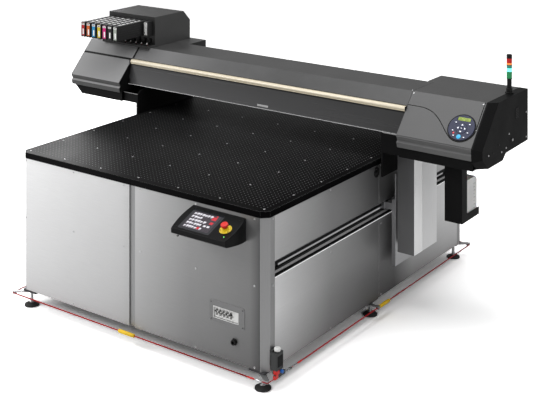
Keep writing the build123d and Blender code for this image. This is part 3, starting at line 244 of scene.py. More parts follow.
def glow(name, colour, strength, body=None, rough=0.25):
    """A lit lens or screen element with a little surface structure; on plain strips the glow is a painted
    highlight.
    """
    g = Graph(name)
    ripple = g.noise(300, 2)
    g.set(Base_Color=(*(body or colour), 1), Roughness=g.sway(ripple, rough - 0.05, rough + 0.05))
    g.set(Emission_Color=(*colour, 1))
    g.set(Emission_Strength=g.span(ripple, 0.2, 0.8, strength * 0.92, strength * 1.05))
    g.bump(ripple, 0.1, 0.0001)
    return g.material


def paint(node, material):
    """Give a carried-over CAD node a finish."""
    mesh = nodes[node].data
    mesh.materials.clear()
    mesh.materials.append(material)


# ================================================================ finishes
def front_shade(g, base):
    """The slow fall of light across the front panels, from the left end to the right."""
    stops = ((-0.9, 1.0), (-0.1, 0.72), (0.03, 0.60), (0.4, 0.36), (0.80, 0.27), (0.866, 0.13))
    across = g.ramp(g.axis("X"), -0.9, 0.9, *stops)
    down = g.ramp(g.axis("Z"), 0.1, 0.9, (0.1, 0.72), (0.5, 0.86), (0.88, 1.0))
    return g.times(g.times(base, across), down)


def side_shade(g, base):
    """The side panels are brightest at their front and rear ends and darkest beside the gantry's legs."""
    stops = ((-1.05, 1.0), (-0.5, 0.46), (0.0, 0.24), (0.2, 0.20), (0.42, 0.70), (1.05, 1.0))
    along = g.ramp(g.axis("Y"), -1.1, 1.1, *stops)
    down = g.ramp(g.axis("Z"), 0.1, 0.9, (0.1, 0.60), (0.40, 1.0), (0.62, 1.0), (0.66, 0.66), (0.88, 0.72))
    return g.times(g.times(base, along), down)


def shaped_cover(name, top, slope, low, side, rough=0.44, grain=650, wear_and_highlight=0.28, edge=0.30, fall=()):
    """Textured cover with painted light: its top, sloping front, lower front, underside and ends each have
    their own tone for how light falls on them, with an optional painted fall of light across it.
    """
    g = Graph(name)
    mottle = g.noise(6, 4)
    fine = g.noise(grain, 2)
    # painted light: each face's tone follows which way it turns to the light
    base = g.mix(g.facing((1, 0, 0), 0.5, 0.9), (top,) * 3, (side,) * 3)
    base = g.mix(g.facing((-1, 0, 0), 0.5, 0.9), base, (side,) * 3)
    front = (slope, slope, slope * 1.01)
    # painted fall of light across the cover, when given
    if fall:
        front = g.times((*front, 1), g.ramp(g.axis("X"), -1.1, 1.1, *fall))
    base = g.mix(g.facing((0, -1, 0), 0.45, 0.6), base, front)
    base = g.mix(g.facing((0, -1, 0), 0.80, 0.9), base, (low,) * 3)
    # painted shade: faces turned downward are darker
    base = g.mix(g.facing((0, 0, -1), 0.02, 0.2), base, (low * 0.7,) * 3)
    base = g.mix(g.sway(mottle, 0, 0.10), base, grey(0.2))
    # lighter edges: partly rubbed, partly a painted highlight
    mask = g.calc("MULTIPLY", edge_mask(g, 0.0020), g.span(g.noise(40, 3), 0.35, 0.65, 0.35, 1.0))
    base = g.mix(g.calc("MULTIPLY", mask, wear_and_highlight), base, (edge,) * 3)
    g.set(Base_Color=base, Roughness=mottled_rough(g, mottle, fine, rough))
    g.set(Specular_IOR_Level=0.35)
    g.bump(fine, 0.35, 0.00022, 0.0020)
    return g.material


PANEL = metal("satin_panel", (0.93, 0.93, 0.935), 0.42, 0.55, (1, 1, 90), 9, 0.55, 0.0016, front_shade)
SIDE = metal("satin_side", (0.84, 0.84, 0.845), 0.40, 0.60, (1, 1, 90), 9, 0.6, 0.0016, side_shade)
ACCESS = metal("access_plate", (0.22, 0.22, 0.222), 0.38, 0.75, (1, 1, 90), 9, 0.7, 0.0012)
POST = metal("satin_post", (0.33, 0.33, 0.333), 0.36, 0.75, (60, 60, 1), 9, 1.0, 0.0034)
SCREW = metal("screw_steel", (0.62, 0.62, 0.63), 0.28, 0.95, (1, 1, 1), 300, 0.6, 0.0006)
RAIL = metal("ground_rail", (0.62, 0.63, 0.65), 0.22, 0.95, (60, 1, 60), 8, 0.5, 0.0008)
BLOCK = metal("ground_block", (0.36, 0.36, 0.37), 0.3, 0.9, (1, 40, 1), 20, 0.6)
PLATE = metal("side_plate", (0.50, 0.50, 0.51), 0.34, 0.85, (1, 1, 70), 9, 0.8, 0.0016)
BRACKET = metal("zinc_bracket", (0.42, 0.42, 0.43), 0.42, 0.85, (1, 1, 1), 60, 0.5)
BEAM = metal("anodised_beam", (0.50, 0.51, 0.52), 0.38, 0.8, (1, 60, 60), 8, 0.5)
PLENUM = metal("mill_plenum", (0.52, 0.53, 0.55), 0.4, 0.85, (1, 50, 50), 8, 0.4)
HEAD = metal("head_steel", grey(0.55), 0.3, 0.95, (1, 30, 1), 30, 0.5, 0.0008)
LAMP = metal("lamp_body", (0.32, 0.32, 0.33), 0.35, 0.8, (1, 40, 1), 20, 0.5)
BELT = rubber("belt_rubber", grey(0.035))
FOOT = rubber("foot_rubber", grey(0.02), 0.6)
FRAME_PAINT = plastic("frame_coat", (0.055, 0.055, 0.06), 0.5, 700)
MOTOR = plastic("motor_paint", (0.05, 0.05, 0.055), 0.4, 500, 0.0002, 0.4)
BLOWER = plastic("blower_paint", (0.24, 0.26, 0.28), 0.5, 300, 0.0004, 0.4)
CONSOLE = plastic(
    "console_shell", (0.0050, 0.0050, 0.0053), 0.36, 1100,
    wear_and_highlight=0.6, edge=(0.20, 0.20, 0.205), soft=0.0014, shine=0.11,
)
GLASS = plastic("screen_glass", (0.012, 0.013, 0.017), 0.12, 300, 0.00002, 0.1, None, 0.6)
YELLOW = plastic("stop_yellow", (0.83, 0.60, 0.03), 0.3, 500, 0.0001, 0.1, None, 0.3)
RED = plastic("stop_red", (0.66, 0.02, 0.015), 0.28, 500, 0.0001, 0.15, (0.95, 0.25, 0.2), 0.4)
WHITE = plastic("breaker_white", (0.80, 0.80, 0.79), 0.4, 600, 0.0001, 0.1)
BLACK = plastic("black_moulding", grey(0.009), 0.42, 800, 0.0001, edge=grey(0.10), shine=0.2)
TRAY = plastic("black_coat", (0.0050, 0.0050, 0.0052), 0.5, 700, wear_and_highlight=0.4, edge=grey(0.10), shine=0.10)
ROPE = plastic("rope_red", (0.36, 0.004, 0.008), 0.5, 700, 0.0002, 0.0)
SLEEVE = plastic("sleeve_yellow", (0.80, 0.52, 0.02), 0.45, 500, 0.0003, 0.15)
SWITCH = plastic("switch_grey", (0.045, 0.047, 0.047), 0.4, 500, 0.0002, 0.35)
BLUE = plastic("knob_blue", (0.02, 0.14, 0.50), 0.3, 500, 0.0001, 0.1)
# painted light: the left cover's copy has a much lighter slope than the copy for the right covers, for light
# falling from the left
COVER = shaped_cover("cover_left", 0.048, 0.245, 0.075, 0.014)
COVER_R = shaped_cover("cover_right", 0.042, 0.097, 0.170, 0.010)
# painted fall of light across the beam cover's front: brightest at the left end, darkest just right of the
# middle
TOP_LIGHT_FALL = ((-1.1, 1.0), (-0.4, 0.50), (0.2, 0.30), (1.1, 0.42))
TOP = shaped_cover("cover_beam", 0.038, 0.175, 0.050, 0.025, fall=TOP_LIGHT_FALL)
CAP = plastic(
    "end_cap", (0.0060, 0.0060, 0.0062), 0.5, 700, 0.0002,
    wear_and_highlight=0.4, edge=grey(0.08), soft=0.0018, shine=0.08,
)
BAY = shaped_cover("bay_coat", 0.011, 0.018, 0.008, 0.060, wear_and_highlight=0.35)
CARRIAGE = plastic("carriage_coat", (0.16, 0.16, 0.17), 0.42, 600)
SEAL = plastic("cap_seal", (0.20, 0.20, 0.21), 0.6, 700)
KEY = plastic("key_rubber", (0.040, 0.045, 0.085), 0.5, 900, 0.0001, 0.3)
DISC = plastic("disc_film", (0.030, 0.034, 0.070), 0.35, 900, 0.0001, 0.5, (0.28, 0.29, 0.33))


def guide_finish():
    """Blackened rail with a ground running strip along its top."""
    g = Graph("guide_rail")
    z = g.axis("Z")
    brush = g.noise(8, 5, 0.6, (60, 1, 60))
    strip = g.calc("GREATER_THAN", z, 0.6240)
    base = g.mix(strip, (0.004, 0.004, 0.0042), (0.30, 0.30, 0.31))
    base = g.mix(g.sway(brush, 0, 0.03), base, grey(0.2))
    g.set(Specular_IOR_Level=0.06)
    g.set(Base_Color=base, Metallic=g.calc("MULTIPLY", strip, 0.5))
    g.set(Roughness=g.sway(brush, 0.3, 0.42))
    g.bump(brush, 0.1, 0.00008, 0.0008)
    return g.material


def smoked_sheet(name):
    """The smoked window: darker in the middle, greyer near its lower edge, and with a painted fall of light
    that darkens it from its left end to its right.
    """
    g = Graph(name)
    streak = g.noise(3, 4, 0.6, (0.4, 8, 8))
    z = g.axis("Z")
    x = g.axis("X")
    low = g.span(z, 1.09, 1.21, 1.0, 0.0)
    # painted fall of light: the tint darkens from the left end to the right
    right = g.span(x, -1.05, 1.05, 1.3, 0.28)
    level = g.calc("MULTIPLY", g.calc("ADD", 0.35, g.calc("MULTIPLY", low, 0.5)), right)
    base = g.mix(level, (0.012, 0.012, 0.0125), (0.060, 0.060, 0.062))
    # painted highlight: the window's sharp edges are lightened
    base = edge_wear_and_highlight(g, base, 0.0018, 0.8, grey(0.22))
    sheet = g.calc("LESS_THAN", z, 1.2085)
    gloss = g.sway(streak, 0.20, 0.30)
    dull = g.calc("SUBTRACT", g.calc("ADD", gloss, 0.5), g.calc("MULTIPLY", sheet, 0.5))
    g.set(Base_Color=base, Roughness=dull)
    g.set(Coat_Weight=g.calc("MULTIPLY", sheet, g.span(x, -1.05, 1.05, 0.55, 0.12)))
    g.set(Specular_IOR_Level=g.span(sheet, 0.0, 1.0, 0.05, 0.5))
    g.bump(g.noise(500, 2), 0.1, 0.0001, 0.0012)
    return g.material


GUIDE = guide_finish()
WINDOW = smoked_sheet("smoked_window")


def ivory_bar():
    g = Graph("ivory_bar")
    streak = g.noise(5, 3, 0.5, (0.3, 20, 20))
    base = g.mix(g.span(streak, 0.35, 0.65, 0, 1), (0.60, 0.53, 0.40), (0.70, 0.63, 0.49))
    z = g.axis("Z")
    # painted shade: the bar darkens toward its lower edge
    base = g.mix(g.span(z, 1.221, 1.230, 0.5, 0.0), base, (0.50, 0.43, 0.30))
    g.set(Base_Color=base, Roughness=g.sway(streak, 0.25, 0.38), Coat_Weight=0.4)
    g.set(Emission_Color=(0.80, 0.72, 0.56, 1), Emission_Strength=0.10)
    g.bump(streak, 0.1, 0.0002, 0.001)
    return g.material


IVORY = ivory_bar()


def toggle_finish():
    """White pivot bar with black toggles: the tone changes at the bar's radius."""
    g = Graph("breaker_toggles")
    low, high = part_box("breaker_handle")
    offset = g.add("ShaderNodeVectorMath", operation="SUBTRACT")
    g.link(g.coord, offset.inputs[0])
    offset.inputs[1].default_value = (0, high.y - 0.004, 0.337)
    flat = g.add("ShaderNodeVectorMath", operation="MULTIPLY")
    g.link(offset.outputs[0], flat.inputs[0])
    flat.inputs[1].default_value = (0, 1, 1)
    length = g.add("ShaderNodeVectorMath", operation="LENGTH")
    g.link(flat.outputs[0], length.inputs[0])
    fine = g.noise(600, 2)
    step = g.calc("MODULO", g.calc("SUBTRACT", g.axis("X"), 0.5775), 0.023)
    outside = g.span(length.outputs["Value"], 0.0047, 0.0052, 0, 1)
    dark = g.calc("MULTIPLY", outside, g.calc("LESS_THAN", step, 0.015))
    base = g.mix(dark, (0.78, 0.78, 0.77), grey(0.02))
    g.set(Base_Color=base, Roughness=g.sway(fine, 0.35, 0.45))
    g.bump(fine, 0.2, 0.0001)
    return g.material


TOGGLES = toggle_finish()

for node, finish in {
    "base_frame": FRAME_PAINT, "levelling_feet": FOOT, "vacuum_plenum": PLENUM, "vacuum_blower": BLOWER,
    "front_panels": PANEL, "cabinet_panels": SIDE, "panel_posts": POST, "panel_screws": SCREW,
    "guide_rails": GUIDE, "travel_belts": BELT, "travel_motor": MOTOR, "console_housing": CONSOLE,
    "console_screen": GLASS, "estop_collar": YELLOW, "estop_button": RED, "access_plate": ACCESS,
    "breaker_block": WHITE, "breaker_handle": TOGGLES, "cable_gland": BLACK, "rope_brackets": BRACKET,
    "safety_rope": ROPE, "rope_switch": SWITCH, "rope_switch_knob": BLUE, "drive_shaft": RAIL,
    "idler_shaft": RAIL, "side_frames": PLATE, "bearing_blocks": BLOCK, "lift_columns": TRAY,
    "gantry_beam": BEAM, "base_trays": TRAY, "light_bar": IVORY, "left_end_cover": COVER,
    "right_end_cover": COVER_R, "right_front_cover": COVER_R, "end_plates": CAP, "ink_bay": BAY,
    "signal_tower": BLACK, "control_panel": DISC, "bottle_holder": TRAY, "carriage_rail": RAIL,
    "capping_station": SEAL, "front_window": WINDOW, "arrow_pad": KEY, "enter_key": KEY,
    "print_carriage": CARRIAGE, "print_heads": HEAD, "uv_lamps": LAMP, "top_cover": TOP,
}.items():
    paint(node, finish)


# ================================================================ mesh kit
def piece(name, verts, faces, materials, body, bevel=0.0, segments=2):
    """A mesh piece that rides on a body, with its edges softened by a bevel modifier."""
    mesh = bpy.data.meshes.new(name)
    mesh.from_pydata([tuple(v) for v in verts], [], faces)
    mesh.validate()
    for finish in materials:
        mesh.materials.append(finish)
    obj = bpy.data.objects.new(name, mesh)
    scene.collection.objects.link(obj)
    if bevel:
        modifier = obj.modifiers.new("soft_edges", "BEVEL")
        modifier.width = bevel
        modifier.segments = segments
        modifier.limit_method = "ANGLE"
    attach(obj, body)
    return obj


def circle(radius, turns, height=0.0):
    angles = [2 * math.pi * k / turns for k in range(turns)]
    return [Vector((radius * math.cos(angle), radius * math.sin(angle), height)) for angle in angles]


class Parts:
    """Collects boxes, lathes and tubes into one mesh, each with its own material index."""

    def __init__(self):
        self.verts, self.faces, self.indices, self.smooth = [], [], [], []

    def take(self, verts, faces, index=0, smooth=False):
        start = len(self.verts)
        self.verts += [tuple(v) for v in verts]
        self.faces += [[start + i for i in face] for face in faces]
        self.indices += index if isinstance(index, list) else [index] * len(faces)
        self.smooth += [smooth] * len(faces)

    def box(self, x, y, z, index=0, frame_matrix=None):
        corners = [Vector((a, b, c)) for a in x for b in y for c in z]
        if frame_matrix is not None:
            corners = [frame_matrix @ corner for corner in corners]
        faces = [(0, 1, 3, 2), (4, 6, 7, 5), (0, 4, 5, 1), (2, 3, 7, 6), (0, 2, 6, 4), (1, 5, 7, 3)]
        self.take(corners, faces, index)

    def skin(self, rings, index):
        """A smooth closed skin over rings that all have the same number of points."""
        turns = len(rings[0])
        last = (len(rings) - 1) * turns
        faces = []
        for start in range(0, last, turns):
            for k in range(turns):
                a, b = start + k, start + (k + 1) % turns
                faces.append((a, b, b + turns, a + turns))
        faces += [tuple(range(turns - 1, -1, -1)), tuple(range(last, last + turns))]
        self.take([point for ring in rings for point in ring], faces, index, True)

    def slats(self, x, y, start, step, high, count, index=0):
        """A column of equal boxes, one above another."""
        for k in range(count):
            self.box(x, y, (start + k * step, start + k * step + high), index)

    def lathe(self, profile, matrix, index=0, turns=24):
        """Turn (radius, height) points round the matrix's own Z axis."""
        self.skin([[matrix @ point for point in circle(r, turns, height)] for r, height in profile], index)

    def tube(self, points, radius, index=0, turns=10):
        """A round bar through points."""
        points = [Vector(p) for p in points]
        rings = []
        for k, point in enumerate(points):
            ahead = points[min(k + 1, len(points) - 1)] - points[max(k - 1, 0)]
            turn = ahead.to_track_quat("Z", "Y")
            rings.append([point + turn @ spot for spot in circle(radius, turns)])
        self.skin(rings, index)

    def done(self, name, materials, body, bevel=0.0, segments=2):
        obj = piece(name, self.verts, self.faces, materials, body, bevel, segments)
        obj.data.polygons.foreach_set("material_index", self.indices)
        obj.data.polygons.foreach_set("use_smooth", self.smooth)
        obj.data.update()
        return obj


def single_box(name, x, y, z, material, body, matrix=None, bevel=0.0, segments=2):
    parts = Parts()
    parts.box(x, y, z, 0, matrix)
    return parts.done(name, [material], body, bevel, segments)


def single_turned(name, profile, matrix, material, body, turns):
    parts = Parts()
    parts.lathe(profile, matrix, 0, turns)
    return parts.done(name, [material], body)


def place(origin, up, along=(1, 0, 0)):
    """A matrix at origin whose Z axis is up and whose X axis is near along."""
    up = Vector(up).normalized()
    side = (Vector(along) - Vector(along).dot(up) * up).normalized()
    third = up.cross(side)
    rotation = Matrix((side, third, up)).transposed().to_4x4()
    return Matrix.Translation(Vector(origin)) @ rotation


def sloping(up, foot):
    """A frame on a sloping sheet: X to the right, Y up the slope and Z out of it."""
    up = Vector(up).normalized()
    matrix = Matrix((Vector((1, 0, 0)), up, Vector((0, -up.z, up.y)))).transposed().to_4x4()
    matrix.translation = foot
    return matrix


# ================================================================ perforated vacuum table
def table_coat():
    g = Graph("table_coat")
    cloud = g.noise(3, 4)
    fine = g.noise(1500, 2)
    base = g.mix(g.span(cloud, 0.35, 0.65, 0, 1), (0.0026, 0.0026, 0.0028), (0.0048, 0.0048, 0.0050))
    # painted highlight: the table's sharp edges are lightened
    base = edge_wear_and_highlight(g, base, 0.0018, 0.7, grey(0.30))
    g.set(Base_Color=base, Roughness=g.sway(cloud, 0.36, 0.44))
    g.set(Specular_IOR_Level=g.span(g.axis("X"), -0.3, 0.9, 0.035, 0.003))
    g.bump(fine, 0.2, 0.00008)
    return g.material


TABLE_COAT = table_coat()
HOLE_RIM = metal("hole_rim", (0.22, 0.22, 0.223), 0.45, 0.5, (1, 1, 1), 200, 0.0)
# painted shade: the near-black floor of each countersink stands in for the dark of the open hole
HOLE_SHADE = rubber("hole_shade", grey(0.004))
table_low, table_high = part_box("vacuum_table")
PITCH = 0.025
MARGIN = 0.030
CHAMFER = 0.037


def perforated_table():
    """The table with one countersunk hole per grid cell, and its chamfered outline."""
    parts = Parts()
    columns = int((table_high.x - table_low.x - 2 * MARGIN) / PITCH)
    rows = int((table_high.y - table_low.y - 2 * MARGIN) / PITCH)
    left = (table_low.x + table_high.x - columns * PITCH) / 2
    front = (table_low.y + table_high.y - rows * PITCH) / 2
    top = table_high.z
    outer_r, inner_r, depth = 0.0026, 0.0015, 0.0012
    ring = [(math.cos(k * math.pi / 4), math.sin(k * math.pi / 4)) for k in range(8)]
    edge = [(1, 0), (1, 1), (0, 1), (-1, 1), (-1, 0), (-1, -1), (0, -1), (1, -1)]
    half = PITCH / 2
    cell_faces = [(k, (k + 1) % 8, 8 + (k + 1) % 8, 8 + k) for k in range(8)]
    sink_faces = [tuple(8 + i for i in face) for face in cell_faces]
    floor_face = tuple(range(16, 24))
    cell_indices = [0] * 8 + [1] * 8 + [2]
    for row in range(rows):
        for column in range(columns):
            cx = left + (column + 0.5) * PITCH
            cy = front + (row + 0.5) * PITCH
            verts = [(cx + a * half, cy + b * half, top) for a, b in edge]
            verts += [(cx + a * outer_r, cy + b * outer_r, top) for a, b in ring]
            verts += [(cx + a * inner_r, cy + b * inner_r, top - depth) for a, b in ring]
            parts.take(verts, [*cell_faces, *sink_faces, floor_face], cell_indices)
    x0, x1, y0, y1 = left, left + columns * PITCH, front, front + rows * PITCH
    lip = 0.0015

    def rim(inset, z):
        c, xa, xb = CHAMFER - inset * 0.4, table_low.x + inset, table_high.x - inset
        ya, yb = table_low.y + inset, table_high.y - inset
        return [
            (xa + c, ya, z), (xb - c, ya, z), (xb, ya + c, z), (xb, yb - c, z),
            (xb - c, yb, z), (xa + c, yb, z), (xa, yb - c, z), (xa, ya + c, z),
        ]

    inner = [
        (x0, y0, top), (x1, y0, top), (x1, y0, top), (x1, y1, top),
        (x1, y1, top), (x0, y1, top), (x0, y1, top), (x0, y0, top),
    ]
    loops = [inner, rim(lip, top), rim(0, top - lip), rim(0, table_low.z)]
    verts = [v for loop in loops for v in loop]
    faces = []
    for level in range(3):
        for k in range(8):
            a, b = level * 8 + k, level * 8 + (k + 1) % 8
            faces.append((a + 8, b + 8, b, a))
    faces.append(tuple(range(31, 23, -1)))
    parts.take(verts, faces)
    obj = parts.done("table_top", [TABLE_COAT, HOLE_RIM, HOLE_SHADE], "bed")
    weld = bmesh.new()
    weld.from_mesh(obj.data)
    bmesh.ops.remove_doubles(weld, verts=weld.verts, dist=0.00001)
    weld.to_mesh(obj.data)
    weld.free()
    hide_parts("vacuum_table")
    return obj


perforated_table()

screws = Parts()
for x in (-0.864, -0.576, -0.288, 0.0, 0.288, 0.576, 0.864):
    for y in (-1.072, -0.804, -0.536, -0.268, 0.0, 0.268, 0.536, 0.804, 1.072):
        screws.lathe([(0.0052, 0), (0.0052, 0.0004), (0.0044, 0.0009), (0.0020, 0.0009), (0.0016, 0.0002)],
                     place((x, y, table_high.z), (0, 0, 1)), 0, 12)
screws.done("table_screws", [SCREW], "bed")

# ================================================================ stop rope fittings
rope_low, rope_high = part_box("safety_rope")
ROPE_Z = (rope_low.z + rope_high.z) / 2
ROPE_R = (rope_high.z - rope_low.z) / 2
ROPE_Y = rope_high.y - ROPE_R
ROPE_X = rope_high.x - ROPE_R
SLEEVE_R = 0.0105
sleeves = Parts()
profile = [(ROPE_R + 0.0004, -0.058), (SLEEVE_R - 0.002, -0.058), (SLEEVE_R, -0.055), (SLEEVE_R, 0.055),
           (SLEEVE_R - 0.002, 0.058), (ROPE_R + 0.0004, 0.058)]
for centre, along in (
    ((-0.017, -ROPE_Y, ROPE_Z), (1, 0, 0)),
    ((ROPE_X, 0.016, ROPE_Z), (0, 1, 0)),
    ((-ROPE_X, 0.016, ROPE_Z), (0, 1, 0)),
    ((-0.017, ROPE_Y, ROPE_Z), (1, 0, 0)),
):
    sleeves.lathe(profile, place(centre, along, (0, 0, 1)), 0, 20)
sleeves.done("rope_sleeves", [SLEEVE], "bed")

jacket = Parts()
BEND = 0.030
REACH = 0.125  # the fittings take up the rope's end beside the switch
for start, end in (
    ((-ROPE_X + BEND, -ROPE_Y), (ROPE_X - REACH, -ROPE_Y)),
    ((ROPE_X, -ROPE_Y + 2 * REACH), (ROPE_X, ROPE_Y - BEND)),
    ((-ROPE_X, -ROPE_Y + BEND), (-ROPE_X, ROPE_Y - BEND)),
    ((-ROPE_X + BEND, ROPE_Y), (ROPE_X - BEND, ROPE_Y)),
):
    jacket.tube([(*start, ROPE_Z), (*end, ROPE_Z)], 0.0038, 0, 12)
jacket.done("rope_jacket", [ROPE], "bed")

ferrules = Parts()
ferrule = [
    (0.0026, -0.020), (0.0046, -0.019), (0.0050, -0.015),
    (0.0050, 0.015), (0.0046, 0.019), (0.0026, 0.020),
]
for y in (-0.905, -0.862):
    ferrules.lathe(ferrule, place((ROPE_X, y, ROPE_Z), (0, 1, 0), (0, 0, 1)), 0 if y < -0.88 else 1, 14)
for y in (-0.965, -0.990, -1.012):
    ferrules.lathe([(0.003, -0.006), (0.0055, -0.006), (0.0055, 0.006), (0.003, 0.006)],
                   place((ROPE_X, y, ROPE_Z), (0, 1, 0), (0, 0, 1)), 0, 6)
ferrules.lathe(ferrule, place((ROPE_X - 0.055, -ROPE_Y, ROPE_Z), (1, 0, 0), (0, 0, 1)), 0, 14)
ferrules.lathe(ferrule, place((ROPE_X - 0.105, -ROPE_Y, ROPE_Z), (1, 0, 0), (0, 0, 1)), 1, 14)
ferrules.done("rope_ferrules", [SCREW, RED], "bed")

switch_trim = Parts()
lens_x = 0.9345
lens_y = -1.0545
switch_trim.lathe([(0.0162, 0.209), (0.0172, 0.2125), (0.0172, 0.2215), (0.0150, 0.2255), (0.006, 0.2268)],
                  place((lens_x, lens_y, 0), (0, 0, 1)), 0, 24)
switch_trim.box((0.9285, 0.9500), (-1.0815, -1.0545), (0.0955, 0.1165), 1)
switch_trim.box((0.9335, 0.9485), (-1.0925, -1.0640), (0.0745, 0.0950), 1)
switch_trim.box((0.9525, 0.9538), (-1.0780, -1.0310), (0.1330, 0.1900), 2)
switch_trim.done("switch_trim", [WHITE, RED, CONSOLE], "bed", 0.0012)

# ================================================================ operator console details
console_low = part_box("console_housing")[0]
console_matrix = sloping((0, 0.180, 0.068), (0, console_low.y, 0.800))


def on_console(x, up):
    """A frame standing on the console's sloping face, up the slope from its front edge."""
    return console_matrix @ Matrix.Translation((x, up, 0))


SCREEN_ON = glow("screen_lit", (0.075, 0.055, 0.075), 0.5, (0.012, 0.012, 0.014))
SCREEN_ROW = glow("screen_rows", (0.90, 0.88, 0.95), 0.95, grey(0.05))
SCREEN_RED = glow("screen_red", (0.70, 0.02, 0.04), 0.9, (0.05, 0.01, 0.01))
screen = Parts()
sx0, sx1 = 0.470, 0.644
su0, su1 = 0.027, 0.155
screen.box((sx0, sx1), (su0, su1), (-0.0011, -0.0004), 0, console_matrix)
for row in range(5):
    low = su0 + 0.007 + row * 0.0245
    length = (0.118, 0.100, 0.112, 0.072, 0.125)[row]
    words = int(length / 0.0165)
    for k in range(words):
        x = sx0 + 0.008 + length * k / words
        wide = length / words * (0.86 if (k + row) % 3 else 0.68)
        high = 0.0155 if (k + 2 * row) % 4 else 0.0125
        screen.box((x, x + wide), (low + 0.005, low + high), (-0.0006, -0.0002), 1, console_matrix)
        screen.box((x, x + wide * 0.7), (low, low + 0.003), (-0.0006, -0.0002), 1, console_matrix)
for x, up, size in ((0.131, 0.092, 0.028), (0.140, 0.060, 0.020), (0.090, 0.008, 0.018), (0.146, 0.120, 0.010)):
    across = (sx0 + x, sx0 + x + size)
    screen.box(across, (su0 + up, su0 + up + size * 0.86), (-0.0005, -0.0001), 2, console_matrix)
for x in (0.118, 0.141):
    screen.box((sx0 + x, sx0 + x + 0.016), (su0 + 0.034, su0 + 0.046), (-0.0005, -0.0001), 1, console_matrix)
screen.done("screen_image", [SCREEN_ON, SCREEN_ROW, SCREEN_RED], "bed")

stop = Parts()
stop_matrix = on_console(0.724, 0.082)
stop_profile = [
    (0.0300, 0.0002), (0.0335, 0.0002), (0.0335, 0.0022),
    (0.0325, 0.0030), (0.0262, 0.0030), (0.0262, 0.0002),
]
stop.lathe(stop_profile, stop_matrix, 0, 40)
for k in range(3):
    angle = math.radians(90 + 120 * k)
    spot = stop_matrix @ Matrix.Rotation(angle, 4, "Z")
    stop.box((0.0270, 0.0315), (-0.0045, 0.0045), (0.0028, 0.0034), 1, spot)
stop.done("stop_ring", [YELLOW, BLACK], "bed", 0.0003, 1)
LED = glow("led_green", (0.15, 0.75, 0.15), 0.8)
led_profile = [(0.0032, 0.0), (0.0032, 0.0016), (0.0018, 0.0024)]
single_turned("console_led", led_profile, on_console(0.750, 0.030), LED, "bed", 12)
console_trim = Parts()
small_screw = [(0.0034, 0), (0.0034, 0.0008), (0.0016, 0.0012), (0.0012, 0.0004)]
for x in (0.446, 0.754):
    for up in (0.018, 0.165):
        console_trim.lathe(small_screw, on_console(x, up), 0, 10)
console_trim.done("console_screws", [BLACK], "bed")
# a small cable hook under the console's left side and the swivel bracket under its right side
hook = Parts()
bends = ((-1.250, 0.775), (-1.254, 0.757), (-1.262, 0.750), (-1.270, 0.756))
hook.tube([(0.447, y, z) for y, z in bends], 0.0028, 0, 10)
hook.box((0.440, 0.454), (-1.262, -1.238), (0.766, 0.7715), 0)
hook.box((0.520, 0.690), (-1.200, -1.112), (0.742, 0.7475), 1)
hook.done("console_underside", [BLACK, BRACKET], "bed", 0.0006)

# ================================================================ front panel fittings
plate_low, plate_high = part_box("access_plate")
plate = Parts()
for x in (plate_low.x + 0.012, plate_high.x - 0.012):
    for z in (plate_low.z + 0.012, plate_high.z - 0.012):
        spot = place((x, plate_low.y - 0.00002, z), (0, -1, 0))
        plate.lathe([(0.0032, 0), (0.0026, 0.0003), (0.0012, 0.0001)], spot, 0, 6)
bx0, bx1, bz0, bz1 = 0.566, 0.726, 0.310, 0.364
frame_w = 0.0035
for x, z in (
    ((bx0 - frame_w, bx1 + frame_w), (bz1, bz1 + frame_w)),
    ((bx0 - frame_w, bx1 + frame_w), (bz0 - frame_w, bz0)),
    ((bx0 - frame_w, bx0), (bz0, bz1)),
    ((bx1, bx1 + frame_w), (bz0, bz1)),
):
    plate.box(x, (plate_low.y + 0.0008, plate_low.y + 0.0026), z, 1)
plate.done("plate_details", [BLACK, WHITE], "bed", 0.0003, 1)
breaker = Parts()
for k in range(6):
    x = 0.5745 + 0.023 * k
    for z in ((0.3112, 0.3188), (0.3552, 0.3628)):
        breaker.box((x - 0.0004, x + 0.0004), (-1.1083, -1.1078), z, 0)
for k in range(5):
    breaker.box((0.5815 + 0.023 * k, 0.5895 + 0.023 * k), (-1.1083, -1.1079), (0.3562, 0.3582), 1)
for k in range(6):
    x0 = 0.5745 if k == 0 else 0.5930 + 0.023 * (k - 1)
    x1 = 0.5770 if k == 0 else x0 + 0.0070
    for z in ((0.3205, 0.3315), (0.3425, 0.3535)):
        breaker.box((x0, x1), (-1.1075, -1.0925), z, 2)
breaker.done("breaker_marks", [BLACK, SWITCH, WHITE], "bed")

# ================================================================ side fittings
port_profile = [
    (0.0300, 0.0), (0.0300, 0.0028), (0.0285, 0.0040), (0.0235, 0.0040),
    (0.0220, 0.0012), (0.0050, 0.0012), (0.0045, 0.0060), (0.0030, 0.0068),
]
single_turned("side_port", port_profile, place((0.903, -0.006, 0.845), (1, 0, 0), (0, 1, 0)), BLACK, "bed", 32)

# belt teeth under the upper run
teeth = Parts()
BELT_X = 0.865
BELT_UPPER = 0.5825
REACH_Y = 0.960
TEETH = 240
for side in (-1, 1):
    for k in range(TEETH):
        x = side * BELT_X
        y = -REACH_Y + 2 * REACH_Y * k / (TEETH - 1)
        heights = (BELT_UPPER - 0.0030, BELT_UPPER - 0.0019)
        teeth.box((x - 0.0078, x + 0.0078), (y - 0.0020, y + 0.0020), heights)
teeth.done("belt_teeth", [BELT], "bed")

